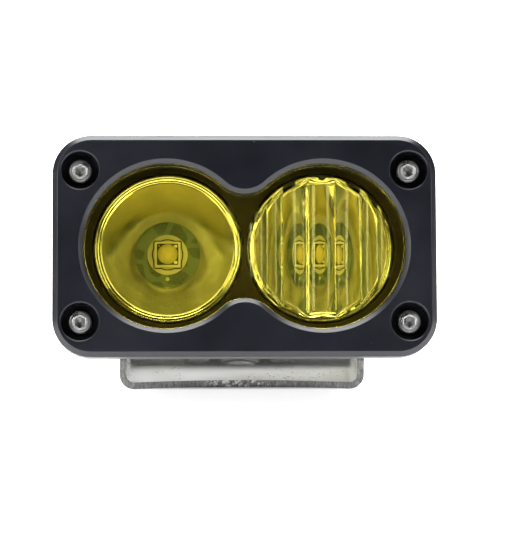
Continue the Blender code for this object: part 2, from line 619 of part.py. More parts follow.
def make_housing():
    black = finish_of("housing_black", (0.020, 0.021, 0.026), 0.5, 0.3)
    housing = plate("housing", [rounded_box(BEZEL_WIDTH / 2 - FLANGE_INSET, BEZEL_HEIGHT / 2 - FLANGE_INSET,
                                            BEZEL_CORNER - FLANGE_INSET)],
                    FLANGE_FRONT, FLANGE_REAR, black)
    bend = FLANGE_REAR + TAPER_START
    chamber = loft("chamber", chamber_sections(OUTER_X, OUTER_Z, CHAMBER_CORNER, FLANGE_REAR - LOOSE, bend,
                                               CHAMBER_REAR))
    combine(housing, chamber, "UNION")
    combine(housing, make_fins(), "UNION")
    boss = cylinder("pivot_boss", BOSS_RADIUS, 2 * BOSS_FACE, (0, 0, 0), (0, math.pi / 2, 0), steps=32)
    combine(housing, boss, "UNION")
    for corner, x, z in CORNERS:
        combine(housing, bore("screw_boss_" + corner, SCREW_BOSS_RADIUS, FLANGE_REAR - LOOSE,
                              FLANGE_REAR + SCREW_BOSS_LENGTH, x * SCREW_X, z * SCREW_Z), "UNION")
    inside = loft("chamber_inside", chamber_sections(INNER_X, INNER_Z, CHAMBER_CORNER - CHAMBER_WALL,
                                                     FLANGE_FRONT - LOOSE, bend, FLOOR))
    combine(housing, inside)
    combine(housing, plate("gasket_pocket", [figure_eight(LENS_OVERLAP + GAP)], FLANGE_FRONT - LOOSE,
                           POCKET_FLOOR))
    combine(housing, slab("driver_well", WELL_WIDTH / 2, WELL_HEIGHT / 2, FLOOR - LOOSE, LEDGE))
    combine(housing, slab("driver_neck", WELL_NECK / 2, WELL_HEIGHT / 2, LEDGE - LOOSE, WELL_END))
    combine(housing, bore("gland_hole", SPIGOT_RADIUS + GAP, WELL_END - LOOSE, BLOCK_REAR + LOOSE, steps=24))
    combine(housing, bore("vent_hole", VENT_STEM_RADIUS + GAP, WELL_END - LOOSE, BLOCK_REAR + LOOSE,
                          0, VENT_HEIGHT))
    tip = COUNTERBORE_DEPTH + SCREW_LENGTH + GAP
    small_tip = BOARD_FRONT + SMALL_SCREW_LENGTH + GAP
    for corner, x, z in CORNERS:
        combine(housing, bore("thread_" + corner, SCREW_RADIUS + GAP, FLANGE_FRONT - LOOSE, tip,
                              x * SCREW_X, z * SCREW_Z, steps=12))
        combine(housing, bore("board_thread_" + corner, SMALL_SCREW_RADIUS + GAP, FLOOR - LOOSE, small_tip,
                              x * BOARD_SCREW_X, z * BOARD_SCREW_Z, steps=8))
    driver_tip = LEDGE - GAP - DRIVER_THICKNESS + SMALL_SCREW_LENGTH + GAP
    middle = (SPINE_X + BOSS_FACE + LOOSE) / 2
    for label, side in SIDES:
        combine(housing, bore("driver_thread_" + label, SMALL_SCREW_RADIUS + GAP, LEDGE - LOOSE, driver_tip,
                              side * DRIVER_SCREW_X, steps=8))
        combine(housing, cylinder("pivot_thread_" + label, PIVOT_BORE_RADIUS, BOSS_FACE + LOOSE - SPINE_X,
                                  (side * middle, 0, 0), (0, math.pi / 2, 0)))


def make_gland():
    """The cable gland: body through the back wall, gasket, locknut, seal and dome nut."""
    nylon = finish_of("gland_nylon", (0.025, 0.025, 0.027), 0.55)
    nut_nylon = finish_of("gland_nut_nylon", (0.025, 0.025, 0.027), 0.55)
    lock_nylon = finish_of("locknut_nylon", (0.025, 0.025, 0.027), 0.55)
    rubber = finish_of("gland_rubber", (0.015, 0.015, 0.015), 0.8)
    seal_rubber = finish_of("gland_seal_rubber", (0.02, 0.02, 0.02), 0.8)
    inner = CABLE_RADIUS
    spigot_front = WELL_END - LOCKNUT_THICKNESS - 2 * LOOSE
    neck = SPIGOT_RADIUS + NECK_STEP
    turned_forward("gland_body", [(SPIGOT_RADIUS, spigot_front), (SPIGOT_RADIUS, COLLAR_FRONT),
                                  (GLAND_RADIUS, COLLAR_FRONT), (GLAND_RADIUS, COLLAR_REAR),
                                  (neck, COLLAR_REAR), (neck, NECK_END), (inner, NECK_END),
                                  (inner, spigot_front)], 0, 0, nylon, 20, ring=True)

    def ring(name, radius, hole, front, rear, finish):
        turned_forward(name, [(radius, front), (radius, rear), (hole, rear), (hole, front)],
                       0, 0, finish, 20, ring=True)

    gasket = BLOCK_REAR + GAP
    ring("gland_gasket", GLAND_RADIUS - GAP, SPIGOT_RADIUS + GAP, gasket, gasket + GLAND_GASKET_THICKNESS,
         rubber)
    lock = WELL_END - GAP - LOCKNUT_THICKNESS
    ring("gland_locknut", LOCKNUT_RADIUS, SPIGOT_RADIUS + GAP, lock, lock + LOCKNUT_THICKNESS, lock_nylon)
    end_wall = GLAND_END - GLAND_END_WALL
    ring("gland_seal", neck, inner, NECK_END + GAP, end_wall - GAP, seal_rubber)
    cavity = neck + GAP
    round_over = 1.0 * MM
    profile = [(GLAND_NUT_RADIUS, GLAND_NUT_FRONT), (GLAND_NUT_RADIUS, GLAND_END - round_over),
               (GLAND_NUT_RADIUS - round_over, GLAND_END), (inner, GLAND_END), (inner, end_wall),
               (cavity, end_wall), (cavity, GLAND_NUT_FRONT)]
    turned_forward("gland_nut", profile, 0, 0, nut_nylon, 20, ring=True)


def make_vent():
    nylon = finish_of("vent_nylon", (0.03, 0.03, 0.03), 0.6)
    seat = BLOCK_REAR + GAP
    profile = [(0, WELL_END), (VENT_STEM_RADIUS, WELL_END), (VENT_STEM_RADIUS, seat), (VENT_CAP_RADIUS, seat),
               (VENT_CAP_RADIUS, seat + VENT_CAP_THICKNESS), (0, seat + VENT_CAP_THICKNESS)]
    turned_forward("vent_plug", profile, 0, VENT_HEIGHT, nylon, 16)


def make_pivots():
    """Each side's pivot bolt with its spring washer, flat washer and friction washer."""
    steel = finish_of("pivot_bolt_steel", (0.55, 0.55, 0.54), 0.3, 1.0)
    zinc = finish_of("washer_steel", (0.60, 0.60, 0.58), 0.35, 1.0)
    spring = finish_of("spring_steel", (0.45, 0.45, 0.44), 0.4, 1.0)
    nylon = finish_of("friction_nylon", (0.05, 0.05, 0.05), 0.6)
    top = PIVOT_HEAD_FACE + PIVOT_HEAD_HEIGHT
    tip = SPINE_X + LOOSE
    profile = [(0, top), (PIVOT_HEAD_RADIUS - PIVOT_HEAD_EDGE, top),
               (PIVOT_HEAD_RADIUS, top - PIVOT_HEAD_EDGE),
               (PIVOT_HEAD_RADIUS, PIVOT_HEAD_FACE), (PIVOT_SHANK_RADIUS, PIVOT_HEAD_FACE),
               (PIVOT_SHANK_RADIUS, tip), (0, tip)]
    socket, socket_depth = PIVOT_SOCKET_RADIUS, PIVOT_SOCKET_DEPTH
    hole = PIVOT_BORE_RADIUS
    for label, side in SIDES:
        bolt = turned_outward("pivot_bolt_" + label, profile, side, steel)
        middle = top + (LOOSE - socket_depth) / 2
        combine(bolt, cylinder("pivot_socket_" + label, socket, socket_depth + LOOSE, (side * middle, 0, 0),
                               (0, math.pi / 2, 0), steps=6))
        washer("friction_washer_" + label, hole, FRICTION_WASHER_RADIUS, BOSS_FACE + GAP,
               FRICTION_WASHER_THICKNESS, side, nylon)
        washer("flat_washer_" + label, hole, FLAT_WASHER_RADIUS, FLAT_WASHER_FACE, FLAT_WASHER_THICKNESS,
               side, zinc)
        lock = washer("lock_washer_" + label, hole, LOCK_WASHER_RADIUS, LOCK_WASHER_FACE,
                      LOCK_WASHER_THICKNESS, side, spring)
        middle = LOCK_WASHER_FACE + LOCK_WASHER_THICKNESS / 2
        combine(lock, box("washer_split_" + label, (2 * LOCK_WASHER_THICKNESS, LOCK_WASHER_SPLIT,
                                                    2 * LOCK_WASHER_RADIUS),
                          (side * middle, 0, LOCK_WASHER_RADIUS)))


def make_bracket():
    """One bent sheet: plate, two arms with shouldered sides and round tops, and its holes."""
    steel = finish_of("bracket_stainless", (0.66, 0.66, 0.63), 0.3, 1.0)
    top = PIVOT_HEIGHT + ARM_RADIUS
    outer, inner = BEND_RADIUS + SHEET, BEND_RADIUS
    half_x, half_y = ARM_OUTSIDE, BRACKET_DEPTH / 2
    section = ([(-half_x, top)] + arc(outer - half_x, outer, outer, 180, 270, 5)
               + arc(half_x - outer, outer, outer, 270, 360, 5) + [(half_x, top), (ARM_INSIDE, top)]
               + arc(ARM_INSIDE - inner, outer, inner, 360, 270, 5)
               + arc(inner - ARM_INSIDE, outer, inner, 270, 180, 5) + [(-ARM_INSIDE, top)])
    bracket = add("bracket", extruded("bracket", [section], BRACKET_DEPTH), (0, PIVOT_Y, 0), FACING, steel,
                  base)
    soft, fillet = 1.5 * MM, SHOULDER_FILLET
    up, right = SHOULDER_HEIGHT, ARM_RADIUS + fillet
    side = ([(-half_y, -LOOSE), (half_y, -LOOSE)] + arc(half_y - soft, up - soft, soft, 0, 90, 3)
            + arc(right, up + fillet, fillet, 270, 180, 4) + arc(0, PIVOT_HEIGHT, ARM_RADIUS, 0, 180, 14)
            + arc(-right, up + fillet, fillet, 0, -90, 4) + arc(soft - half_y, up - soft, soft, 90, 180, 3))
    outline = extruded("arm_outline", [side], BRACKET_WIDTH + 2 * LOOSE)
    combine(bracket, add("arm_outline", outline, (0, PIVOT_Y, 0), SIDEWAYS, parent=base), "INTERSECT")
    chord = half_x - outer
    radius = (chord ** 2 + SCALLOP_DEPTH ** 2) / (2 * SCALLOP_DEPTH)
    spread = math.degrees(math.asin(chord / radius))
    middle = SCALLOP_DEPTH - half_y - radius
    hollow = arc(0, middle, radius, 90 + spread, 90 - spread, 12) + [(chord, -half_y - LOOSE),
                                                                     (-chord, -half_y - LOOSE)]
    scallop = extruded("scallop", [hollow], 2 * SHEET)
    combine(bracket, add("scallop", scallop, (0, PIVOT_Y, SHEET / 2), parent=base))
    for name, radius, x in (("mount_hole", MOUNT_HOLE_RADIUS, 0), ("side_hole_left", SIDE_HOLE_RADIUS, -1),
                            ("side_hole_right", SIDE_HOLE_RADIUS, 1)):
        combine(bracket, cylinder(name, radius, 3 * SHEET, (x * SIDE_HOLE_OFFSET, PIVOT_Y, SHEET / 2),
                                  (0, 0, 0), steps=24, parent=base))
    combine(bracket, cylinder("arm_holes", PIVOT_BORE_RADIUS, BRACKET_WIDTH + 2 * LOOSE,
                              (0, PIVOT_Y, PIVOT_HEIGHT), (0, math.pi / 2, 0), parent=base))


for old in list(bpy.data.objects):
    bpy.data.objects.remove(old, do_unlink=True)
lamp = bpy.data.collections.new("fog_light")
cutters = bpy.data.collections.new("cutters")
bpy.context.scene.collection.children.link(lamp)
bpy.context.scene.collection.children.link(cutters)
base = bpy.data.objects.new("bracket_base", None)
pivot = bpy.data.objects.new("pivot_axis", None)
pivot.location = (0, PIVOT_Y, PIVOT_HEIGHT)
pivot.rotation_euler = (-REST_TILT, 0, 0)
pivot.parent = base
lamp.objects.link(base)
lamp.objects.link(pivot)

make_bracket()
make_housing()
make_bezel()
make_bezel_screws()
make_lens()
make_lens_gasket()
make_mask()
make_reflectors()
make_leds()
make_led_board()
make_driver()
make_gland()
make_vent()
make_pivots()
bpy.context.view_layer.update()
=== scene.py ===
"""Looks of a twin-LED fog light on its tilting bracket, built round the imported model.

Every new piece is a surface worked out with numpy. Pieces of the head are worked out across the lamp, behind
the bezel's face and up from the pivot's axis, and then turned back by the lamp's tilt.
"""
import json
import math

import bmesh
import bpy
import numpy as np
from bpy.props import FloatProperty, FloatVectorProperty, IntProperty, PointerProperty
from bpy.types import Operator, Panel, PropertyGroup
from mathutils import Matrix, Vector


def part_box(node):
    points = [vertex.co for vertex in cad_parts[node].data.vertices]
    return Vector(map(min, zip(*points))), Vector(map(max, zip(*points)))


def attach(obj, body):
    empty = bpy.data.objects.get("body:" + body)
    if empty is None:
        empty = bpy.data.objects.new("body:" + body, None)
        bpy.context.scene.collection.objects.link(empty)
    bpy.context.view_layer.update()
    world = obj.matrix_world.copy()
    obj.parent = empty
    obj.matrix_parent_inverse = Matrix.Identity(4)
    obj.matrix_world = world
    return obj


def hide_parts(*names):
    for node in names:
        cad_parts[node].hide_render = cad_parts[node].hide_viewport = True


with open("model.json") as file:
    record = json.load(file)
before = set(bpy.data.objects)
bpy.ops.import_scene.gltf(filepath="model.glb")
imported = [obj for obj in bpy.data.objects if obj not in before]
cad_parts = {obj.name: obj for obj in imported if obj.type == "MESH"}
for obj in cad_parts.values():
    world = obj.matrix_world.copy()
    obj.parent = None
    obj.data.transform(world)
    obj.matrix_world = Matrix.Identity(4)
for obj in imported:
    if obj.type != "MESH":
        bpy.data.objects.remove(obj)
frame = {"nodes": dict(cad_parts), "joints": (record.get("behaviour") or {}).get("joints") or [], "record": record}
for packed in bpy.data.materials:
    packed.name = "packed_" + packed.name

bl_info = {
    "name": "Twin-LED Fog Light",
    "version": (1, 0, 0),
    "blender": (4, 5, 0),
    "location": "View3D > Sidebar > Fog Light",
    "description": "Builds the fine surfaces, finishes and studio of a twin-LED fog light",
    "category": "Object",
}

MM = 0.001
TURN = 2 * math.pi
CLEARANCE = 0.3 * MM     # between a piece and the seat or hole that it sits in
PAST = 1.0 * MM          # how far a cutting shape reaches beyond what it cuts
COLUMN_GAP = 0.01 * MM   # closest that two columns of a grid may lie
SIDES = (("left", -1), ("right", 1))
CORNERS = (("upper_left", -1, 1), ("upper_right", 1, 1), ("lower_left", -1, -1), ("lower_right", 1, -1))

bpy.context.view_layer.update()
PIVOT = np.array(frame["joints"][0]["pos_m"])
FACE = next(mount for mount in frame["record"]["mounts"] if mount["name"] == "bezel_face")
TILT = math.atan2(FACE["axis"][2], -FACE["axis"][1])
ACROSS = np.array([1.0, 0.0, 0.0])
REARWARD = np.array([0.0, math.cos(TILT), -math.sin(TILT)])
UPWARD = np.array([0.0, math.sin(TILT), math.cos(TILT)])
PIVOT_DEPTH = float((PIVOT - np.array(FACE["pos_m"])) @ REARWARD)


# Places

def in_head(points):
    """World places of points given across the lamp, behind the bezel's face and up from the pivot."""
    points = np.asarray(points, float)
    return (PIVOT + points[..., :1] * ACROSS + (points[..., 1:2] - PIVOT_DEPTH) * REARWARD
            + points[..., 2:] * UPWARD)


def corners_in_head(node):
    """Lowest and highest corner of a node's mesh, in the head's own directions."""
    mesh = frame["nodes"][node].data
    flat = np.empty(len(mesh.vertices) * 3)
    mesh.vertices.foreach_get("co", flat)
    away = flat.reshape(-1, 3) - PIVOT
    own = np.stack([away @ ACROSS, away @ REARWARD + PIVOT_DEPTH, away @ UPWARD], -1)
    return own.min(0), own.max(0)


def middle_in_head(node):
    """Middle of a node's box, in the head's own directions."""
    low, high = corners_in_head(node)
    return (low + high) / 2


def about(centre_x=0.0, centre_z=0.0):
    """Takes turned points (side, along, up) to the head, along its depth, about a centre."""
    def place(points):
        return in_head(points + np.array([centre_x, 0.0, centre_z]))
    return place


def outward(side):
    """Takes turned points (side, along, up) to the pivot's axis, counted outwards from the lamp's middle."""
    def place(points):
        return PIVOT + np.stack([side * points[..., 1], points[..., 0], points[..., 2]], -1)
    return place


# Surfaces

def soften(points, radius, steps=4):
    """A profile whose inner corners are arcs: each corner's arc starts and ends where a circle of the
    given radius touches its two sides, or half-way along the shorter side."""
    points = [np.array(point, float) for point in points]
    out = [points[0]]
    for before, corner, after in zip(points, points[1:], points[2:]):
        a, b = before - corner, after - corner
        la, lb = np.linalg.norm(a), np.linalg.norm(b)
        if min(la, lb) < 1e-9:
            continue
        a, b = a / la, b / lb
        half = math.acos(max(-1.0, min(1.0, float(a @ b)))) / 2
        if half > math.pi / 2 - 0.02 or half < 0.02:
            out.append(corner)
            continue
        reach = min(radius / math.tan(half), 0.48 * la, 0.48 * lb)
        real = reach * math.tan(half)
        centre = corner + (a + b) / np.linalg.norm(a + b) * real / math.sin(half)
        start, end = corner + a * reach - centre, corner + b * reach - centre
        sweep = math.pi - 2 * half
        for i in range(steps + 1):
            t = i / steps
            first, second = math.sin((1 - t) * sweep), math.sin(t * sweep)
            out.append(centre + (start * first + end * second) / math.sin(sweep))
    out.append(points[-1])
    return np.array(out)


def angles(steps):
    """Even turns round a circle, without the last one that would repeat the first."""
    return np.arange(steps) * TURN / steps


def round_box(theta, half_x, half_z, corner):
    """Distance from the middle to a box with round corners: to its nearer side, or to the corner's circle
    where the ray passes beyond both straight sides."""
    c, s = np.abs(np.cos(theta)), np.abs(np.sin(theta))
    a, b = half_x - corner, half_z - corner
    with np.errstate(divide="ignore", invalid="ignore"):
        to_side, to_top = half_x / c, half_z / s
        towards = c * a + s * b
        arc = towards + np.sqrt(np.maximum(towards ** 2 - (a * a + b * b - corner * corner), 0))
    return np.where(to_side * s <= b, to_side, np.where(to_top * c <= a, to_top, arc))


def hexagon(theta, half, corner):
    """Distance from the middle to a hexagon with round corners: half over the cosine of the angle to the
    nearest flat, and the corner's circle beyond the point where it touches the flat."""
    turn = np.abs((theta + math.pi / 6) % (math.pi / 3) - math.pi / 6)
    centre = (half - corner) / math.cos(math.pi / 6)
    touch = np.arctan2(centre * 0.5, half)
    away = math.pi / 6 - turn
    arc = centre * np.cos(away) + np.sqrt(np.maximum(corner ** 2 - (centre * np.sin(away)) ** 2, 0))
    return np.where(turn > touch, arc, half / np.cos(turn))


def wound(radii, heights, steps, place, ring=False):
    """A grid wrapped about an axis: row i, column j lies radii[i, j] from the axis in direction j and
    heights[i, j] along it. Its ends are closed by flat fans, or joined to each other in a ring."""
    theta = angles(steps)
    radii = np.broadcast_to(np.asarray(radii, float).reshape(len(radii), -1), (len(radii), steps))
    heights = np.broadcast_to(np.asarray(heights, float).reshape(len(heights), -1), (len(heights), steps))
    grid = np.stack([radii * np.cos(theta), heights, radii * np.sin(theta)], -1)
    rows = len(radii)
    index = np.arange(rows * steps).reshape(rows, steps)
    if ring:
        index = np.vstack([index, index[:1]])
    index = np.hstack([index, index[:, :1]])
    faces = [np.stack([index[:-1, :-1], index[:-1, 1:], index[1:, 1:], index[1:, :-1]], -1).reshape(-1, 4)]
    points = grid.reshape(-1, 3)
    if not ring:
        ends = np.array([[0, heights[0].mean(), 0], [0, heights[-1].mean(), 0]])
        points = np.vstack([points, ends])
        first, last = rows * steps, rows * steps + 1
        pole = np.full(steps, first)
        faces.append(np.stack([pole, index[0, 1:], index[0, :-1]], -1))
        faces.append(np.stack([pole * 0 + last, index[-1, :-1], index[-1, 1:]], -1))
    return place(points), faces, np.stack([np.hypot(points[:, 0], points[:, 2]), points[:, 1]], -1)


def turned(profile, steps, place, ring=False):
    """A surface of revolution: every (radius, height) of the profile swept round the axis."""
    profile = np.asarray(profile, float)
    return wound(profile[:, :1], profile[:, 1:], steps, place, ring)


def sleeve(grid):
    """A closed loop of points for every column of a grid, joined column to column, with flat ends."""
    columns, loop = grid.shape[:2]
    index = np.arange(columns * loop).reshape(columns, loop)
    wrapped = np.hstack([index, index[:, :1]])
    sides = np.stack([wrapped[:-1, :-1], wrapped[1:, :-1], wrapped[1:, 1:], wrapped[:-1, 1:]], -1)
    faces = [sides.reshape(-1, 4), index[:1], index[-1:, ::-1]]
    points = grid.reshape(-1, 3)
    return points, faces, np.zeros((len(points), 2))


def volume(points, faces):
    """Signed volume: the sum over all triangles of a face fan of the dot of one corner with the cross of
    the other two, over six."""
    total = 0.0
    for group in faces:
        for i in range(1, group.shape[1] - 1):
            a, b, c = points[group[:, 0]], points[group[:, i]], points[group[:, i + 1]]
            total += float(np.sum(a * np.cross(b, c)))
    return total / 6


def mesh_of(name, skins):
    """One mesh from closed skins, each turned so that its faces point out. A skin may carry the number of
    its finish as a fourth value, and 'turning' keeps each point's radius and height on its own axis."""
    points, faces, finishes, marks, count = [], [], [], [], 0
    for skin in skins:
        own, groups, mark = skin[:3]
        middle = own.mean(0)
        flip = volume(own - middle, groups) < 0
        for group in groups:
            group = group[:, ::-1] if flip else group
            faces.extend((group + count).tolist())
            finishes.append(np.full(len(group), skin[3] if len(skin) > 3 else 0))
        points.append(own)
        marks.append(mark)
        count += len(own)
    mesh = bpy.data.meshes.new(name)
    mesh.from_pydata(np.vstack(points).tolist(), [], faces)
    mesh.polygons.foreach_set("material_index", np.concatenate(finishes).astype(np.int32))
    marks = np.vstack(marks)
    turning = mesh.attributes.new("turning", "FLOAT_VECTOR", "POINT")
    turning.data.foreach_set("vector", np.hstack([marks, np.zeros((len(marks), 1))]).ravel())
    mesh.update()
    return mesh


def thing(name, skins):
    """A new object, linked at the origin, with one mesh from closed skins."""
    item = bpy.data.objects.new(name, mesh_of(name, skins))
    bpy.context.scene.collection.objects.link(item)
    return item


def baked(item):
    """Puts the result of an object's modifiers into its mesh."""
    graph = bpy.context.evaluated_depsgraph_get()
    mesh = bpy.data.meshes.new_from_object(item.evaluated_get(graph))
    item.modifiers.clear()
    item.data = mesh
    return item


def cut(item, tool, operation="DIFFERENCE"):
    """Joins, cuts or meets two closed solids, and removes the second."""
    boolean = item.modifiers.new("Cut", "BOOLEAN")
    boolean.operation = operation
    boolean.object = tool
    baked(item)
    bpy.data.objects.remove(tool)
    return item


def done(item, body, finishes, nodes=(), sharp=35.0, weighted=True):
    """Shades a finished piece, gives it its finishes, and sets it on its body."""
    item.data.name = item.name
    numbers = np.zeros(len(item.data.polygons), np.int32)
    item.data.polygons.foreach_get("material_index", numbers)
    item.data.materials.clear()
    for look in finishes:
        item.data.materials.append(look)
    item.data.polygons.foreach_set("material_index", np.minimum(numbers, len(finishes) - 1).astype(np.int32))
    item.data.shade_smooth()
    item.data.set_sharp_from_angle(angle=math.radians(sharp))
    if weighted:
        normal = item.modifiers.new("Even normals", "WEIGHTED_NORMAL")
        normal.keep_sharp = True
        normal.weight = 80
    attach(item, body)
    if nodes:
        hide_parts(*nodes)
    return item


def dress(look, *nodes):
    """Gives kept CAD nodes a finish."""
    for node in nodes:
        item = frame["nodes"][node]
        item.data.materials.clear()
        item.data.materials.append(look)


def eight(theta, grow):
    """Distance from the middle to the lamp's opening. Within a lobe it is the far crossing of the ray with
    the lobe's circle; past the waist's tangent point it is the near crossing with the fillet's circle."""
    own = settings().opening
    lobe_x, radius, fillet = own.lobe_spacing / 2, own.lobe_radius + grow, own.waist_fillet - grow
    rise = math.sqrt((own.lobe_radius + own.waist_fillet) ** 2 - lobe_x ** 2)
    c, s = np.abs(np.cos(theta)), np.abs(np.sin(theta))
    touch_x = lobe_x * fillet / (radius + fillet)
    touch_z = rise * radius / (radius + fillet)
    lobe = lobe_x * c + np.sqrt(np.maximum(radius ** 2 - (lobe_x * s) ** 2, 0))
    waist = rise * s - np.sqrt(np.maximum(fillet ** 2 - (rise * c) ** 2, 0))
    return np.where(np.arctan2(s, c) > np.arctan2(touch_z, touch_x), waist, lobe)


def ringed(outline, profile, steps, place, ring=True):
    """A profile of (grow, depth) carried round an outline that is moved outwards by each grow."""
    profile = np.asarray(profile, float)
    return wound(outline(angles(steps)[None, :], profile[:, :1]), profile[:, 1:], steps, place, ring)


# Finishes

class Finish:
    """A Principled material being mixed from procedural nodes on Object coordinates."""

    def __init__(self, name, colour, metallic=0.0, roughness=0.5, **extra):
        self.material = bpy.data.materials.new(name)
        self.material.use_nodes = True
        self.tree = self.material.node_tree
        self.shader = self.tree.nodes["Principled BSDF"]
        values = {"Base Color": (*colour, 1), "Metallic": metallic, "Roughness": roughness}
        values.update({key.replace("_", " "): value for key, value in extra.items()})
        for key, value in values.items():
            self.shader.inputs[key].default_value = value
        self.place = self.node("ShaderNodeTexCoord").outputs["Object"]

    def node(self, kind, links=(), **choices):
        """A new node with its choices set and its sockets linked or given values."""
        made = self.tree.nodes.new(kind)
        for key, value in choices.items():
            setattr(made, key, value)
        for socket, value in dict(links).items():
            if isinstance(value, bpy.types.NodeSocket):
                self.tree.links.new(value, made.inputs[socket])
            else:
                made.inputs[socket].default_value = value
        return made

    def link(self, value, socket):
        """Drives one of the shader's sockets."""
        self.tree.links.new(value, self.shader.inputs[socket])
        return self

    def noise(self, scale, detail=3.0, roughness=0.5, at=None, distortion=0.0):
        return self.node("ShaderNodeTexNoise", {"Vector": at or self.place, "Scale": scale, "Detail": detail,
                                                "Roughness": roughness, "Distortion": distortion}).outputs[0]

    def cells(self, scale, feature="F1", at=None):
        made = self.node("ShaderNodeTexVoronoi", {"Vector": at or self.place, "Scale": scale},
                         feature=feature)
        return made.outputs["Distance"]

    def stretched(self, scale, at=None, offset=(0, 0, 0)):
        """Coordinates scaled along each axis and then moved."""
        return self.node("ShaderNodeMapping", {"Vector": at or self.place, "Scale": scale,
                                               "Location": offset}).outputs[0]

    def ranged(self, value, low, high, to_low=0.0, to_high=1.0, smooth=False):
        """A value carried from one range to another and held at its ends."""
        return self.node("ShaderNodeMapRange", {"Value": value, "From Min": low, "From Max": high,
                                                "To Min": to_low, "To Max": to_high}, clamp=True,
                         interpolation_type="SMOOTHSTEP" if smooth else "LINEAR").outputs[0]

    def maths(self, operation, a, b=0.0):
        return self.node("ShaderNodeMath", {0: a, 1: b}, operation=operation).outputs[0]

    def blend(self, share, a, b):
        """A colour between a and b."""
        mix = self.node("ShaderNodeMix", data_type="RGBA")
        for socket, value in ((0, share), (6, a), (7, b)):
            if isinstance(value, bpy.types.NodeSocket):
                self.tree.links.new(value, mix.inputs[socket])
            else:
                mix.inputs[socket].default_value = (*value, 1) if isinstance(value, tuple) else value
        return mix.outputs[2]

    def bump(self, height, distance, strength=1.0, after=None):
        links = {"Height": height, "Distance": distance, "Strength": strength}
        if after:
            links["Normal"] = after
        return self.node("ShaderNodeBump", links).outputs[0]

    def turning(self):
        """A point's radius and height on the axis that its piece is turned about."""
        return self.node("ShaderNodeAttribute", attribute_name="turning").outputs["Vector"]


def anodised():
    """Bead-blasted black anodising with a blue cast, finger haze and a few specks of dust."""
    tone = settings().finishes.anodising
    look = Finish("anodised_black", tone, 0.0, 0.34, Specular_IOR_Level=0.5)
    haze = look.noise(55, 4, 0.6)
    grain = look.noise(5200, 2, 0.6)
    dust = look.ranged(look.cells(620), 0.05, 0.03)
    rare = look.ranged(look.noise(260, 1), 0.66, 0.70)
    specks = look.maths("MULTIPLY", dust, rare)
    lighter = tuple(min(1.0, value * 1.5 + 0.002) for value in tone)
    surface = look.blend(look.ranged(haze, 0.35, 0.7), tuple(tone), lighter)
    look.link(look.blend(specks, surface, (0.32, 0.32, 0.34)), "Base Color")
    look.link(look.ranged(haze, 0.3, 0.75, 0.29, 0.38), "Roughness")
    look.link(look.bump(grain, 0.006 * MM, 0.5), "Normal")
    return look.material


def cast_metal():
    """Powder-coated die casting: fine orange peel over a faint casting flow."""
    tone = settings().finishes.casting
    look = Finish("cast_black", tone, 0.0, 0.55, Specular_IOR_Level=0.4)
    peel = look.noise(2600, 3, 0.55)
    flow = look.noise(90, 3, 0.6, distortion=0.6)
    lighter = tuple(value * 1.6 for value in tone)
    look.link(look.blend(look.ranged(flow, 0.3, 0.75), tuple(tone), lighter), "Base Color")
    look.link(look.ranged(peel, 0.3, 0.7, 0.45, 0.66), "Roughness")
    look.link(look.bump(peel, 0.03 * MM, 0.6), "Normal")
    return look.material


def stainless_sheet():
    """Mill-rolled stainless: faint rolling lines, cloudy gloss, pits and a few wandering scratches."""
    tone = settings().finishes.stainless
    look = Finish("stainless_sheet", tone, 0.8, 0.45)
    rolled = look.noise(1, 4, 0.6, at=look.stretched((60, 2600, 2600)))
    cloud = look.noise(70, 4, 0.6)
    warped = look.noise(150, 2, at=look.stretched((1, 1.6, 1)), distortion=2.5)
    scratch = look.maths("MULTIPLY", look.ranged(look.maths("ABSOLUTE", look.maths("SUBTRACT", warped, 0.5)),
                                                 0.006, 0.001), look.ranged(look.noise(95, 2), 0.53, 0.6))
    pits = look.maths("MULTIPLY", look.ranged(look.cells(760), 0.2, 0.08),
                      look.ranged(look.noise(170, 2), 0.54, 0.6))
    marks = look.maths("MAXIMUM", scratch, pits)
    dull = tuple(value * 0.22 for value in tone)
    warm = (tone[0] * 0.97, tone[1] * 0.96, tone[2] * 0.86)
    sheet = look.blend(look.ranged(cloud, 0.42, 0.72), tuple(tone), warm)
    look.link(look.blend(marks, sheet, dull), "Base Color")
    look.link(look.ranged(cloud, 0.3, 0.75, 0.34, 0.52), "Roughness")
    fine = look.bump(rolled, 0.012 * MM, 0.6)
    look.link(look.bump(marks, 0.05 * MM, -0.5, fine), "Normal")
    return look.material


def sheared_edge():
    """The sheet's cut edge: coarse lines across the thickness, and a torn band with bright flecks towards
    the middle of the sheet."""
    tone = settings().finishes.stainless
    look = Finish("sheared_edge", tone, 0.75, 0.5)
    lines = look.noise(1, 3, 0.7, at=look.stretched((3000, 3000, 700)))
    bands = look.noise(1, 2, 0.6, at=look.stretched((900, 900, 3800)))
    parts = look.node("ShaderNodeSeparateXYZ", {0: look.place})
    middle = look.ranged(look.maths("ABSOLUTE", parts.outputs[0]), 9 * MM, 4 * MM, smooth=True)
    torn = look.maths("MULTIPLY", look.ranged(look.noise(1100, 4, 0.75), 0.5, 0.56), middle)
    dull = tuple(value * 0.16 for value in tone)
    grey = tuple(value * 0.4 for value in tone)
    pale = tuple(value * 0.95 for value in tone)
    cut_face = look.blend(look.ranged(lines, 0.35, 0.65), dull, grey)
    look.link(look.blend(torn, cut_face, pale), "Base Color")
    look.link(look.ranged(bands, 0.3, 0.7, 0.4, 0.65), "Roughness")
    look.link(look.bump(lines, 0.03 * MM, 0.7, look.bump(bands, 0.06 * MM, 0.8)), "Normal")
    return look.material


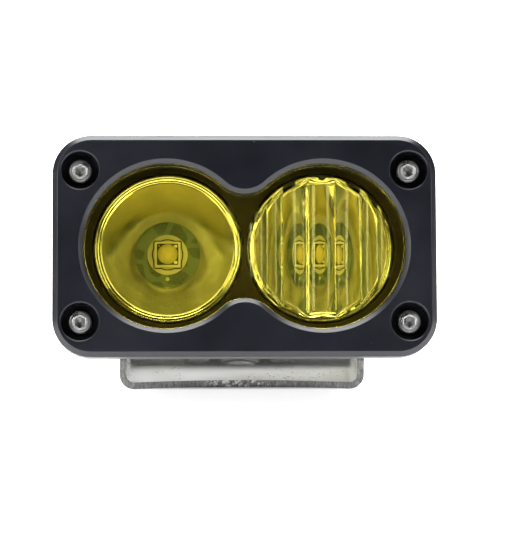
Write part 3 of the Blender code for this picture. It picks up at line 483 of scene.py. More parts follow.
def machined(name, tone, roughness, depth=0.008):
    """Turned steel: rings that follow each point's own radius and height, under light handling marks."""
    look = Finish(name, tone, 1.0, roughness)
    rings = look.noise(1, 3, 0.7, at=look.stretched((9000, 9000, 1), at=look.turning()))
    wear = look.noise(420, 3, 0.6)
    darker = tuple(value * 0.72 for value in tone)
    look.link(look.blend(look.ranged(wear, 0.42, 0.72), tuple(tone), darker), "Base Color")
    look.link(look.ranged(wear, 0.3, 0.75, roughness * 0.75, roughness * 1.5), "Roughness")
    look.link(look.bump(rings, depth * MM, 0.7), "Normal")
    return look.material


def amber_glass():
    """Amber polycarbonate with faint flow, a few trapped specks and a dusting of fine marks. Light that
    falls through it on its way to the inside is tinted and not bent."""
    tone = settings().finishes.amber
    look = Finish("amber_lens", tone, 0.0, 0.0, Transmission_Weight=1.0, IOR=1.53)
    flow = look.noise(240, 2, 0.5)
    dust = look.maths("MULTIPLY", look.ranged(look.cells(820), 0.045, 0.02),
                      look.ranged(look.noise(200, 1), 0.56, 0.62))
    deeper = (tone[0] * 0.98, tone[1] * 0.96, tone[2] * 0.86)
    look.link(look.blend(look.ranged(flow, 0.35, 0.7), tuple(tone), deeper), "Base Color")
    look.link(look.ranged(dust, 0.0, 1.0, 0.0, 0.55), "Roughness")
    look.link(look.bump(flow, 0.006 * MM, 0.25), "Normal")
    clear = look.node("ShaderNodeBsdfTransparent", {"Color": (tone[0], tone[1], tone[2], 1)})
    path = look.node("ShaderNodeLightPath")
    mix = look.node("ShaderNodeMixShader", {0: path.outputs["Is Shadow Ray"], 1: look.shader.outputs[0],
                                            2: clear.outputs[0]})
    output = look.tree.nodes["Material Output"]
    look.tree.links.new(mix.outputs[0], output.inputs["Surface"])
    return look.material


def mirror():
    """Vacuum-metallised plastic: a bright coat over moulded rings, milky in slow patches."""
    tone = settings().finishes.mirror
    look = Finish("mirror_coat", tone, 1.0, 0.08)
    rings = look.noise(1, 2, 0.6, at=look.stretched((1500, 1500, 1), at=look.turning()))
    haze = look.noise(160, 3, 0.6)
    milky = (tone[0] * 0.8, tone[1] * 0.8, tone[2] * 0.78)
    look.link(look.blend(look.ranged(haze, 0.3, 0.75), tuple(tone), milky), "Base Color")
    look.link(look.ranged(haze, 0.3, 0.75, 0.08, 0.2), "Roughness")
    look.link(look.bump(rings, 0.01 * MM, 0.35), "Normal")
    return look.material


def moulded(name, tone, roughness, grain=1400, depth=0.02):
    """A moulded plastic or rubber: fine grain with slow tone and gloss changes."""
    look = Finish(name, tone, 0.0, roughness, Specular_IOR_Level=0.4)
    fine = look.noise(grain, 3, 0.6)
    slow = look.noise(140, 2, 0.5)
    lighter = tuple(min(1.0, value * 1.35 + 0.002) for value in tone)
    look.link(look.blend(look.ranged(slow, 0.35, 0.7), tuple(tone), lighter), "Base Color")
    look.link(look.ranged(fine, 0.3, 0.7, roughness * 0.85, min(1.0, roughness * 1.2)), "Roughness")
    look.link(look.bump(fine, depth * MM, 0.6), "Normal")
    return look.material


def solder_mask(name, tone):
    """Circuit board: glossy mask over raised copper tracks."""
    look = Finish(name, tone, 0.0, 0.3, Coat_Weight=0.4)
    weave = look.noise(1, 1, at=look.stretched((2600, 2600, 2600)))
    tracks = look.ranged(look.cells(260, "DISTANCE_TO_EDGE"), 0.1, 0.14, 1, 0)
    copper = tuple(min(1.0, value * 1.7 + 0.01) for value in tone)
    surface = look.blend(tracks, tuple(tone), copper)
    look.link(look.blend(look.ranged(weave, 0.4, 0.8, 0, 0.35), surface, copper), "Base Color")
    look.link(look.ranged(weave, 0.3, 0.7, 0.25, 0.4), "Roughness")
    look.link(look.bump(tracks, 0.03 * MM, 0.6), "Normal")
    return look.material


def silicone():
    """The LED's dome: half-clear silicone with a warm cast and faint inner haze."""
    pale, deep = (0.90, 0.84, 0.50), (0.84, 0.77, 0.42)
    look = Finish("led_silicone", pale, 0.0, 0.04, Transmission_Weight=0.6, IOR=1.41)
    haze = look.noise(900, 2, 0.5)
    look.link(look.blend(look.ranged(haze, 0.35, 0.7), pale, deep), "Base Color")
    look.link(look.ranged(haze, 0.3, 0.7, 0.03, 0.1), "Roughness")
    clear = look.node("ShaderNodeBsdfTransparent", {"Color": (0.98, 0.93, 0.7, 1)})
    path = look.node("ShaderNodeLightPath")
    mix = look.node("ShaderNodeMixShader", {0: path.outputs["Is Shadow Ray"], 1: look.shader.outputs[0],
                                            2: clear.outputs[0]})
    look.tree.links.new(mix.outputs[0], look.tree.nodes["Material Output"].inputs["Surface"])
    return look.material


# Settings

def length(name, description, default, low=0.0):
    """A size in metres, shown in the scene's unit."""
    return FloatProperty(name=name, description=description, default=default, min=low, unit="LENGTH",
                         precision=5)


def tone(name, description, default):
    """A colour."""
    return FloatVectorProperty(name=name, description=description, default=default, size=3, min=0.0, max=1.0,
                               subtype="COLOR")


BEZEL_LOW, BEZEL_HIGH = corners_in_head("bezel")
LENS_LOW, LENS_HIGH = corners_in_head("lens")
LENS_OVERLAP = 1.5 * MM
LOBE_RADIUS = float(LENS_HIGH[2]) - LENS_OVERLAP
LOBE_SPACING = 2 * (float(LENS_HIGH[0]) - LENS_OVERLAP - LOBE_RADIUS)


class OpeningSettings(PropertyGroup):
    """The figure-eight opening that the bezel, lens, gasket and mask share."""
    lobe_radius: length("Lobe Radius", "Radius of each lobe of the opening", LOBE_RADIUS)
    lobe_spacing: length("Lobe Spacing", "Distance between the middles of the two lobes", LOBE_SPACING)
    waist_fillet: length("Waist Fillet", "Radius of the fillet between the lobes", 6.4 * MM)


class BezelSettings(PropertyGroup):
    """The milled front frame."""
    corner: length("Corner", "Radius of the bezel's corners", 7.5 * MM)
    chamfer: length("Chamfer", "Chamfer round the bezel's front edge", 1.0 * MM)
    lip_chamfer: length("Lip Chamfer", "Width of the chamfer round the opening", 0.85 * MM)
    lip_slope: FloatProperty(name="Lip Slope", description="Depth of the lip's chamfer over its width",
                             default=0.78, min=0.0)
    lip_depth: length("Lip Depth", "Wall of the opening in front of the lens", 3.0 * MM)
    counterbore: length("Counterbore", "Radius of the hollow round each screw head", 3.65 * MM)
    counterbore_depth: length("Counterbore Depth", "How deep the screw heads' seats are", 4.3 * MM)
    flare: length("Counterbore Flare", "Chamfer at the mouth of each counterbore", 0.25 * MM)
    screw_hole: length("Screw Hole", "Radius of the holes for the screws' shanks", 1.55 * MM)


class OpticsSettings(PropertyGroup):
    """The lens, the reflectors and the LEDs."""
    window_rise: length("Window Rise", "How far the lens window stands in front of its rim", 0.5 * MM)
    window_gap: length("Window Gap", "Groove between the window and the bezel's lip", 0.22 * MM)
    flute_depth: length("Flute Depth", "Hollow of the widest upright flute", 0.62 * MM)
    flute_lean: FloatProperty(name="Flute Lean", description="Rise of the outer flutes over their width",
                              default=0.24)
    flute_end: length("Flute End", "Length over which a flute fades at either end", 1.7 * MM)
    flute_reach: length("Flute Reach", "Radius inside which the flutes end", 13.9 * MM)
    flute_rear: length("Flute Rear", "How far the flutes' ridges stay inside the lens's rim", 0.15 * MM)
    flute_shift: length("Flute Shift", "How far the flutes sit towards the lamp's middle", 0.3 * MM)
    window_least: length("Window Least", "Least thickness of the lens's wall in front", 0.3 * MM)
    mouth: length("Mirror Mouth", "Radius of the mirror at its front", 12.9 * MM)
    throat: length("Mirror Throat", "Radius of the mirror round the LED", 6.5 * MM)
    gasket_width: length("Gasket Width", "Width of the lens gasket", 1.2 * MM)
    wall: length("Reflector Wall", "Thickness of a reflector", 1.2 * MM)
    steps_round: IntProperty(name="Steps Round", description="Columns round a reflector", default=160, min=24)


class FittingSettings(PropertyGroup):
    """Screws, washers, gland and vent."""
    bezel_pitch: length("Bezel Thread", "Pitch of the bezel screws", 0.45 * MM)
    bezel_shank: length("Bezel Screw Shank", "Radius of the bezel screws' threads", 1.25 * MM)
    bezel_socket: length("Bezel Socket", "Half the width of the bezel screws' sockets", 1.04 * MM)
    board_pitch: length("Board Thread", "Pitch of the LED board's screws", 0.4 * MM)
    board_shank: length("Board Screw Shank", "Radius of the board screws' threads", 1.0 * MM)
    board_socket: length("Board Socket", "Half the width of the board screws' sockets", 0.8 * MM)
    pivot_pitch: length("Pivot Thread", "Pitch of the pivot bolts", 0.8 * MM)
    pivot_shank: length("Pivot Shank", "Radius of the pivot bolts' threads", 2.5 * MM)
    pivot_socket: length("Pivot Socket", "Half the width of the pivot bolts' sockets", 1.5 * MM)
    cable_bore: length("Cable Bore", "Radius of the gland's bore", 2.75 * MM)
    gland_spigot: length("Gland Spigot", "Radius of the gland's thread into the housing", 4.0 * MM)
    gland_neck: length("Gland Neck", "Radius of the gland's neck inside its nut", 4.4 * MM)
    gland_pitch: length("Gland Thread", "Pitch of the gland's thread", 1.0 * MM)
    gland_ribs: IntProperty(name="Gland Ribs", description="Grip ribs round the gland nut", default=18, min=6)


class BracketSettings(PropertyGroup):
    """The bent stainless bracket."""
    sheet: length("Sheet", "Thickness of the sheet", 1.4 * MM)
    bend: length("Bend", "Inside radius of the bends", 1.6 * MM)
    scallop: length("Scallop", "Hollow of the plate's front edge", 1.8 * MM)
    shoulder: length("Shoulder", "Height up to which the arms are as deep as the plate", 7.2 * MM)
    shoulder_corner: length("Shoulder Corner", "Radius of the shoulders' outer corners", 1.5 * MM)
    shoulder_fillet: length("Shoulder Fillet", "Radius between the shoulders and the arms", 2.0 * MM)
    arm_radius: length("Arm Radius", "Round top of each arm", 7.0 * MM)
    mount_hole: length("Mount Hole", "Radius of the middle hole", 4.0 * MM)
    side_hole: length("Side Hole", "Radius of the two smaller holes", 2.5 * MM)
    side_offset: length("Side Offset", "Distance of the smaller holes from the middle", 8.8 * MM)
    pivot_hole: length("Pivot Hole", "Radius of the holes in the arms", 2.8 * MM)
    edge: length("Edge", "Round of the sheet's edges", 0.16 * MM)


class FinishSettings(PropertyGroup):
    """Colours of the finishes."""
    anodising: tone("Anodising", "Bezel", (0.0042, 0.0046, 0.0078))
    casting: tone("Casting", "Housing", (0.013, 0.0135, 0.016))
    stainless: tone("Stainless", "Bracket", (0.80, 0.80, 0.78))
    steel: tone("Steel", "Screws and bolts", (0.60, 0.60, 0.59))
    amber: tone("Amber", "Lens", (0.98, 0.925, 0.36))
    mirror: tone("Mirror", "Reflectors", (0.92, 0.92, 0.90))


class StudioSettings(PropertyGroup):
    """Camera, floor and lights."""
    lens: FloatProperty(name="Camera Lens", description="Focal length on a 36 mm sensor", default=187.56,
                        min=1.0, unit="CAMERA")
    softbox: FloatProperty(name="Softbox", description="Power of the overhead softbox", default=15.0, min=0.0,
                           unit="POWER")
    card: FloatProperty(name="Under Card", description="Power of the small card light under the head",
                        default=0.0008, min=0.0, unit="POWER")
    floor: tone("Floor", "Pale floor", (0.93, 0.93, 0.93))
    # The floor's glow is painted light: it fills the lamp's shadow on the floor.
    floor_glow: FloatProperty(name="Floor Glow", description="Light that the floor gives", default=0.75,
                              min=0.0)


class FogLightSettings(PropertyGroup):
    """All of the fog light's settings."""
    opening: PointerProperty(type=OpeningSettings)
    bezel: PointerProperty(type=BezelSettings)
    optics: PointerProperty(type=OpticsSettings)
    fittings: PointerProperty(type=FittingSettings)
    bracket: PointerProperty(type=BracketSettings)
    finishes: PointerProperty(type=FinishSettings)
    studio: PointerProperty(type=StudioSettings)


def settings():
    return bpy.context.scene.fog_light


def finish(name, make, *values):
    """A finish by name, made once."""
    return bpy.data.materials.get(name) or make(*values)


def steel_look():
    return finish("turned_steel", machined, "turned_steel", tuple(settings().finishes.steel), 0.3)


# Shapes that several pieces share

def thread(start, end, pitch, rows_per_turn=10):
    """Heights of a threaded shank's rows, a few to each turn of the thread."""
    turns = max(2.0, abs(end - start) / pitch)
    return np.linspace(start, end, int(turns * rows_per_turn))


def screw(name, place, head, shank, socket, pitch, steps=96):
    """A socket screw as one wound grid: cone-bottomed hexagon socket, softened head, and a shank whose
    radius dips by a triangle wave of height over pitch less the turn, easing in and out at its ends.

    head is (top, underside, radius, corner), shank is (end, radius) and socket is (half width, depth)."""
    theta = angles(steps)[None, :]
    top, under, radius, corner = head
    end, shank_radius = shank
    half, depth = socket
    sign = 1.0 if end > top else -1.0
    floor = top + sign * depth
    flare = 0.14 * half
    hex_rows = [(half * 0.94, floor), (half, floor - sign * 0.1 * depth), (half, top + sign * flare),
                (half + flare * 0.5, top + sign * flare * 0.35), (half + flare, top)]
    cone = [(half * 0.12, floor + sign * 0.28 * half), (half * 0.88, floor)]
    rim = (half + flare) / math.cos(math.pi / 6) + 0.03 * MM
    sunk = top + sign * 0.05 * MM
    head_profile = soften([(rim, top), (rim + 0.12 * (radius - rim), sunk), (radius - corner, sunk),
                           (radius, top + sign * corner), (radius, under),
                           (shank_radius, under)], corner * 0.45, 4)
    rows = [np.full((1, steps), r) for r, _ in cone]
    heights = [h for _, h in cone]
    for r, h in hex_rows:
        rows.append(hexagon(theta, r, 0.08 * half))
        heights.append(h)
    for r, h in head_profile[:-1]:
        rows.append(np.full((1, steps), r))
        heights.append(h)
    along = thread(under + sign * 0.3 * pitch, end - sign * 0.5 * pitch, pitch)
    wave = np.abs(((along[:, None] / pitch - theta / TURN) % 1.0) * 2 - 1)
    ease = np.clip(np.minimum(np.abs(along - under), np.abs(along - end)) / pitch - 0.3, 0, 1)[:, None]
    rows.append(np.full((1, steps), shank_radius - 0.02 * MM))
    heights.append(under)
    for r, h in zip(shank_radius - 0.55 * pitch * wave * ease - 0.02 * MM, along):
        rows.append(r[None, :])
        heights.append(h)
    for r, h in ((shank_radius * 0.72, end), (shank_radius * 0.3, end)):
        rows.append(np.full((1, steps), r))
        heights.append(h)
    return thing(name, [wound(np.vstack(rows), np.array(heights), steps, place)])


# Pieces

class FOGLIGHT_OT_bezel(Operator):
    """Mill the bezel: outer edge, opening, lens seat and four counterbores."""
    bl_idname = "fog_light.bezel"
    bl_label = "Bezel"

    steps = 600

    def execute(self, context):
        own = settings().bezel
        depth = float(BEZEL_HIGH[1])
        half_x, half_z = float(BEZEL_HIGH[0]), float(BEZEL_HIGH[2])
        seat, lip, edge = LENS_OVERLAP + CLEARANCE, own.lip_chamfer, own.chamfer
        guard = 0.5 * MM
        inner = soften([(lip + guard, 0), (lip, 0), (0, own.lip_slope * lip), (0, own.lip_depth),
                        (seat, own.lip_depth), (seat, depth), (seat + guard, depth)], 0.12 * MM)
        outer = soften([(-guard, depth), (0, depth), (0, edge), (-edge, 0), (-edge - guard, 0)], 0.22 * MM)
        theta = angles(self.steps)[None, :]
        box = round_box(theta, half_x + outer[:, :1], half_z + outer[:, :1], own.corner + outer[:, :1])
        radii = np.vstack([eight(theta, inner[:, :1]), box])
        heights = np.concatenate([inner[:, 1], outer[:, 1]])
        bezel = thing("bezel_frame", [wound(radii, heights, self.steps, in_head, ring=True)])
        hole, radius, floor, flare = own.screw_hole, own.counterbore, own.counterbore_depth, own.flare
        profile = soften([(hole, depth + PAST), (hole, floor), (radius, floor), (radius, flare),
                          (radius + flare + PAST, -PAST)], 0.07 * MM, 3)
        tools = []
        for corner, _, _ in CORNERS:
            x, _, z = middle_in_head("bezel_screw_" + corner)
            tools.append(turned(profile, 72, about(x, z)))
        cut(bezel, thing("counterbores", tools))
        done(bezel, "head", [finish("anodised_black", anodised)], ["bezel"], sharp=30)
        return {"FINISHED"}


class FOGLIGHT_OT_bezel_screws(Operator):
    """Turn the four socket screws that hold the bezel."""
    bl_idname = "fog_light.bezel_screws"
    bl_label = "Bezel Screws"

    def execute(self, context):
        for corner, _, _ in CORNERS:
            node = "bezel_screw_" + corner
            low, high = corners_in_head(node)
            x, _, z = (low + high) / 2
            own = settings().fittings
            seat = settings().bezel.counterbore_depth - CLEARANCE
            item = screw(node + "_turned", about(x, z), (low[1], seat, (high[0] - low[0]) / 2, 0.34 * MM),
                         (high[1], own.bezel_shank), (own.bezel_socket, 1.25 * MM), own.bezel_pitch)
            done(item, "head", [steel_look()], [node], sharp=40)
        return {"FINISHED"}


class FOGLIGHT_OT_lens(Operator):
    """Mould the amber lens: a rim under the bezel's lip, a raised window, and upright flutes of differing
    widths behind the right lobe."""
    bl_idname = "fog_light.lens"
    bl_label = "Lens"

    steps = 480

    def flutes(self, centre):
        """Edges of the flutes across the right lobe, from the wide middle ones out to the narrow sides."""
        reach = settings().optics.flute_reach
        return centre + reach * np.array([-1.0, -0.76, -0.53, -0.165, 0.2, 0.555, 0.80, 1.0])

    def behind_flutes(self, centre, rear):
        """The space behind the lens: a slab whose front is the flat back of the window. Within a flute it is
        pushed forward by the arc of a circle through the flute's edges, and leans by the distance from the
        flute's middle so that the lens is thicker towards the lobe's middle. Both fade over a short length
        where the lobe's circle cuts the flute."""
        own = settings().optics
        edges = self.flutes(centre)
        widths = np.diff(edges)
        shares = np.array([0.5, 1, 1.4, 0.1, -1.2, -1, -0.5])
        leans = own.flute_lean * shares
        across = [np.linspace(LENS_LOW[0] - PAST, edges[0], 12)]
        for a, b in zip(edges, edges[1:]):
            across.append(a + (b - a) * (1 - np.cos(np.linspace(0, math.pi, 45))) / 2)
        across.append(np.linspace(edges[-1], LENS_HIGH[0] + PAST, 4))
        x = np.unique(np.round(np.concatenate(across), 8))
        x = x[np.concatenate([[True], np.diff(x) > COLUMN_GAP])]
        flute = np.clip(np.searchsorted(edges, x, "right") - 1, 0, len(widths) - 1)
        beside = np.minimum(np.abs(x - centre), 0.9 * own.flute_reach)
        end = np.sqrt(own.flute_reach ** 2 - beside ** 2)
        middle, half = (edges[:-1] + widths / 2)[flute], (widths / 2)[flute]
        sag = own.flute_depth * half / (widths.max() / 2)
        away = x - middle
        flat = rear - own.flute_rear - shares.max() * own.flute_lean * widths.max() / 2
        shape = leans[flute] * away - sag * (1 - (away / half) ** 2)
        shape = np.where((x > edges[0]) & (x < edges[-1]), shape, 0)[:, None]
        t = np.linspace(0, 1, 9)
        fade = np.concatenate([[0], t * t * (3 - 2 * t), (t * t * (3 - 2 * t))[::-1], [0]])[None, :]
        inner = end[:, None] - own.flute_end * t[None, :]
        z = np.hstack([np.full((len(x), 1), LENS_LOW[2] - PAST), -inner, inner[:, ::-1],
                       np.full((len(x), 1), LENS_HIGH[2] + PAST)])
        grid_x = np.broadcast_to(x[:, None], z.shape)
        face = np.stack([grid_x, flat + shape * fade, z], -1)
        back = np.stack([grid_x, np.full_like(z, rear + 2 * PAST), z], -1)[:, [-1, 0]]
        points, faces, marks = sleeve(np.concatenate([face, back], 1))
        return in_head(points), faces, marks

    def execute(self, context):
        own = settings().optics
        front, rear = float(LENS_LOW[1]), float(LENS_HIGH[1])
        window, gap, inside = front - own.window_rise, own.window_gap, 6 * MM
        profile = soften([(-inside, window), (-gap, window), (-gap, front), (LENS_OVERLAP, front),
                          (LENS_OVERLAP, rear), (-inside, rear)], 0.2 * MM, 5)
        lens = thing("lens_moulding", [ringed(eight, profile, self.steps, in_head, ring=False)])
        hollow = thing("lens_hollow", [self.behind_flutes(LOBE_SPACING / 2 - own.flute_shift, rear)])
        near, wide = front + own.window_least, 0.2 * MM
        well = [(-inside, near), (wide, near), (wide, rear + PAST), (-inside, rear + PAST)]
        cut(hollow, thing("lens_well", [ringed(eight, well, 500, in_head, ring=False)]), "INTERSECT")
        cut(lens, hollow)
        done(lens, "head", [finish("amber_lens", amber_glass)], ["lens"], sharp=25,
             weighted=False)
        return {"FINISHED"}


class FOGLIGHT_OT_seal(Operator):
    """Lay the lens gasket and the black mask round the reflectors."""
    bl_idname = "fog_light.seal"
    bl_label = "Gasket and Mask"

    def execute(self, context):
        low, high = corners_in_head("lens_gasket")
        outer = float(high[2]) - LOBE_RADIUS
        inner = outer - settings().optics.gasket_width
        front, rear = float(low[1]), float(high[1])
        middle = (inner + outer) / 2
        bead = soften([(middle, front), (outer, front), (outer, rear), (inner, rear), (inner, front),
                       (middle, front)], 0.42 * MM, 6)[:-1]
        gasket = thing("lens_seal", [ringed(eight, bead, 480, in_head)])
        rubber = finish("seal_rubber", moulded, "seal_rubber", (0.014, 0.013, 0.012), 0.7)
        done(gasket, "head", [rubber], ["lens_gasket"])
        low, high = corners_in_head("reflector_mask")
        grow, front, rear = float(high[2]) - LOBE_RADIUS, float(low[1]), float(high[1])
        inward = -4 * MM
        plate = soften([(inward, front), (grow, front), (grow, rear), (inward, rear)], 0.15 * MM, 3)
        mask = thing("optic_mask", [ringed(eight, plate, 480, in_head, ring=False)])
        edge = corners_in_head("right_reflector")[1][0]
        rim = float(edge - middle_in_head("right_reflector")[0]) + CLEARANCE
        soft = 0.1 * MM
        profile = [(rim * 0.5, front - PAST), (rim + soft + PAST, front - PAST), (rim, front + soft),
                   (rim, rear - soft), (rim + soft + PAST, rear + PAST), (rim * 0.5, rear + PAST)]
        holes = [turned(profile, 160, about(middle_in_head(side + "_reflector")[0])) for side, _ in SIDES]
        for hole in holes:
            cut(mask, thing("mask_hole", [hole]))
        black = finish("mask_black", moulded, "mask_black", (0.0085, 0.0055, 0.0045), 0.45, 900)
        done(mask, "head", [black], ["reflector_mask"])
        return {"FINISHED"}


class FOGLIGHT_OT_reflectors(Operator):
    """Mould the two metallised reflectors."""
    bl_idname = "fog_light.reflectors"
    bl_label = "Reflectors"

    def execute(self, context):
        own = settings().optics
        look = finish("mirror_coat", mirror)
        for side, _ in SIDES:
            node = side + "_reflector"
            low, high = corners_in_head(node)
            x, front, rear = (low[0] + high[0]) / 2, float(low[1]), float(high[1])
            rim = float(high[0] - x)
            radii = np.linspace(own.mouth, own.throat, 48)
            set_back, flange = 0.25 * MM, 1.0 * MM
            fall = (rear - front - set_back) / (own.mouth ** 2 - own.throat ** 2)
            dish = front + set_back + fall * (own.mouth ** 2 - radii ** 2)
            slope = -2 * fall * radii
            steep = np.sqrt(1 + slope ** 2)
            back_r = radii - own.wall * slope / steep
            back_d = dish + own.wall / steep
            land = rim - own.mouth
            steps = [(own.mouth + share * land, front + drop * MM)
                     for share, drop in ((0.13, 0.12), (0.3, 0.3), (0.46, 0.08), (0.63, 0.24), (0.76, 0))]
            out = soften([*steps, (rim, front), (rim, front + flange),
                          (own.mouth + own.wall * 0.9, front + flange)], 0.06 * MM, 3)
            keep = (back_d > front + 1.1 * flange) & (back_d < rear)
            profile = np.vstack([np.stack([radii, dish], -1)[::-1], out,
                                 np.stack([back_r, back_d], -1)[keep], [(own.throat + own.wall * 0.8, rear)]])
            item = thing(node + "_mirror", [turned(profile, own.steps_round, about(x), ring=True)])
            done(item, "head", [look], [node], sharp=40, weighted=False)
        return {"FINISHED"}


class FOGLIGHT_OT_leds(Operator):
    """Build the LED packages, their domes and the pads that they are soldered to."""
    bl_idname = "fog_light.leds"
    bl_label = "LEDs"

    def slab(self, half_x, half_z, corner, front, rear, place, look, edge=0.05 * MM, steps=96):
        """A box with round corners and softened edges, wound about its own middle."""
        profile = soften([(-half_x * 0.5, front), (0, front), (0, rear), (-half_x * 0.5, rear)], edge, 2)

        def outline(theta, grow):
            return round_box(theta, half_x + grow, half_z + grow, np.maximum(corner + grow, 0.02 * MM))
        return (*ringed(outline, profile, steps, place, ring=False), look)

    def execute(self, context):
        ceramic = finish("led_ceramic", moulded, "led_ceramic", (0.80, 0.78, 0.68), 0.45, 3000, 0.004)
        recess = finish("led_recess", moulded, "led_recess", (0.035, 0.06, 0.022), 0.5, 3000, 0.004)
        phosphor = finish("led_phosphor", moulded, "led_phosphor", (0.55, 0.50, 0.12), 0.6, 5200, 0.006)
        for side, _ in SIDES:
            node = side + "_led_package"
            low, high = corners_in_head(node)
            x, front, rear = (low[0] + high[0]) / 2, float(low[1]), float(high[1])
            half = float(high[0] - x)
            place = about(x)
            steps, wall, corner = 160, 0.27 * MM, 0.2 * MM
            floor = front + 0.22 * MM
            theta = angles(steps)[None, :]
            outer = [(0, rear), (0, front + 0.03 * MM), (-0.03 * MM, front)]
            radii = [round_box(theta, half + g, half + g, 0.35 * MM) for g, _ in outer]
            heights = [h for _, h in outer]
            for g, h in ((wall, front), (wall + 0.05 * MM, floor), (half * 0.6, floor)):
                radii.append(round_box(theta, half - g, half - g, corner))
                heights.append(h)
            body = wound(np.vstack(radii), np.array(heights), steps, place)
            bed, half_die = half - wall - 0.1 * MM, 1.08 * MM
            sunk = self.slab(bed, bed, corner, floor - 0.04 * MM, floor + 0.02 * MM, place, 1)
            die = self.slab(half_die, half_die, 0.08 * MM, floor - 0.12 * MM, floor, place, 2)
            marks = [self.slab(size * 1.3, size, 0.06 * MM, floor - 0.1 * MM, floor,
                               about(x + dx * MM, dz * MM), mark)
                     for size, dx, dz, mark in ((0.26 * MM, 1.6, 1.62, 0), (0.26 * MM, 1.6, -1.62, 0),
                                                (0.13 * MM, -1.68, 1.68, 2), (0.16 * MM, -0.2, 1.86, 0))]
            item = thing(node + "_built", [(*body, 0), sunk, die, *marks])
            done(item, "head", [ceramic, recess, phosphor], [node])
            self.dome(side)
        return {"FINISHED"}

    def dome(self, side):
        """A silicone dome: a part of a sphere above a short foot, closed underneath."""
        node = side + "_led_dome"
        low, high = corners_in_head(node)
        x, front, rear = (low[0] + high[0]) / 2, float(low[1]), float(high[1])
        radius, rise = float(high[0] - x), rear - front
        ball = (radius ** 2 + rise ** 2) / (2 * rise)
        swing = np.linspace(0.03, math.asin(radius / ball), 28)
        profile = np.stack([ball * np.sin(swing), front + ball * (1 - np.cos(swing))], -1)
        profile = np.vstack([profile, [(radius * 0.5, rear)]])
        item = thing(node + "_cast", [turned(profile, 96, about(x))])
        done(item, "head", [finish("led_silicone", silicone)], [node], weighted=False)


PRINT_HALF = 2.84 * MM     # half the side of the printed square round an LED
PRINT_ROUND = 3.12 * MM    # radius of the circle that bulges beyond that square's sides
PRINT_WIDTH = 0.22 * MM    # width of the printed line


class FOGLIGHT_OT_led_board(Operator):
    """Etch the LED board with its raised pads, and drive in its four screws."""
    bl_idname = "fog_light.led_board"
    bl_label = "LED Board"

    def outline_mark(self, place, raised, foot):
        """A thin printed line round an LED: a square whose sides bulge where a circle passes beyond them."""
        def outline(theta, grow):
            square = round_box(theta, PRINT_HALF + grow, PRINT_HALF + grow, 0.35 * MM + grow)
            return np.maximum(square, PRINT_ROUND + grow)
        top, lean = raised - 0.02 * MM, 0.01 * MM
        profile = [(-PRINT_WIDTH, top), (0, top), (lean, foot), (-PRINT_WIDTH - lean, foot)]
        return ringed(outline, profile, 240, place)

    def execute(self, context):
        low, high = corners_in_head("led_board")
        half_x, half_z = float(high[0]), float(high[2])
        front, rear = float(low[1]), float(high[1])
        corner, inward = 4.3 * MM, -4 * MM
        profile = soften([(inward, front), (0, front), (0, rear), (inward, rear)], 0.08 * MM, 2)

        def outline(theta, grow):
            return round_box(theta, half_x + grow, half_z + grow, corner + grow)
        board = thing("led_board_etched", [ringed(outline, profile, 360, in_head, ring=False)])
        holes, hole = [], 1.3 * MM
        for label, _, _ in CORNERS:
            x, _, z = middle_in_head("board_screw_" + label)
            holes.append(turned([(hole, front - PAST), (hole, rear + PAST)], 32, about(x, z)))
        cut(board, thing("board_holes", holes))
        pads, raised, foot = [], front - 0.06 * MM, front + 0.05 * MM
        pad_inner, pad_outer = 3.0 * MM, 4.0 * MM
        pad = soften([(pad_inner, raised), (pad_outer, raised), (pad_outer, foot), (pad_inner, foot)],
                     0.03 * MM, 2)
        dot = [(0.2 * MM, raised), (0.36 * MM, raised), (0.4 * MM, foot), (0.2 * MM, foot)]
        for side, _ in SIDES:
            x = middle_in_head(side + "_led_package")[0]
            pads.append(turned(pad, 96, about(x)))
            pads.append(turned(dot, 32, about(x, -4.85 * MM)))
            pads.append((*self.outline_mark(about(x), raised, foot), 1))
        tinned = thing("led_board_pads", pads)
        mask = finish("board_green", solder_mask, "board_green", (0.105, 0.135, 0.12))
        pale = finish("board_pad", moulded, "board_pad", (0.60, 0.58, 0.46), 0.4, 2600, 0.006)
        done(board, "head", [mask], ["led_board"])
        ink = finish("board_ink", moulded, "board_ink", (0.02, 0.018, 0.012), 0.6, 2600, 0.006)
        done(tinned, "head", [pale, ink])
        for label, _, _ in CORNERS:
            node = "board_screw_" + label
            low, high = corners_in_head(node)
            x, _, z = (low + high) / 2
            own = settings().fittings
            head = (low[1], low[1] + 1.3 * MM, (high[0] - low[0]) / 2, 0.35 * MM)
            item = screw(node + "_turned", about(x, z), head, (high[1], own.board_shank),
                         (own.board_socket, 0.8 * MM), own.board_pitch, 64)
            done(item, "head", [steel_look()], [node], sharp=40)
        return {"FINISHED"}


class FOGLIGHT_OT_housing(Operator):
    """Soften the cast housing's edges and give it its coat."""
    bl_idname = "fog_light.housing"
    bl_label = "Housing"

    def execute(self, context):
        turn_kept = math.radians(0.6)   # facets that turn less than this lie in one face
        source = frame["nodes"]["housing"]
        item = bpy.data.objects.new("cast_housing", source.data.copy())
        bpy.context.scene.collection.objects.link(item)
        item.data.materials.clear()
        weld = item.modifiers.new("Weld", "WELD")
        weld.merge_threshold = 0.002 * MM
        flat = item.modifiers.new("Flatten", "DECIMATE")
        flat.decimate_type = "DISSOLVE"
        flat.angle_limit = turn_kept
        baked(item)
        soft = item.modifiers.new("Soften", "BEVEL")
        soft.width = 0.32 * MM
        soft.segments = 3
        soft.limit_method = "ANGLE"
        soft.angle_limit = math.radians(32)
        soft.use_clamp_overlap = True
        soft.miter_outer = "MITER_ARC"
        baked(item)
        done(item, "head", [finish("cast_black", cast_metal)], ["housing"], sharp=38)
        return {"FINISHED"}


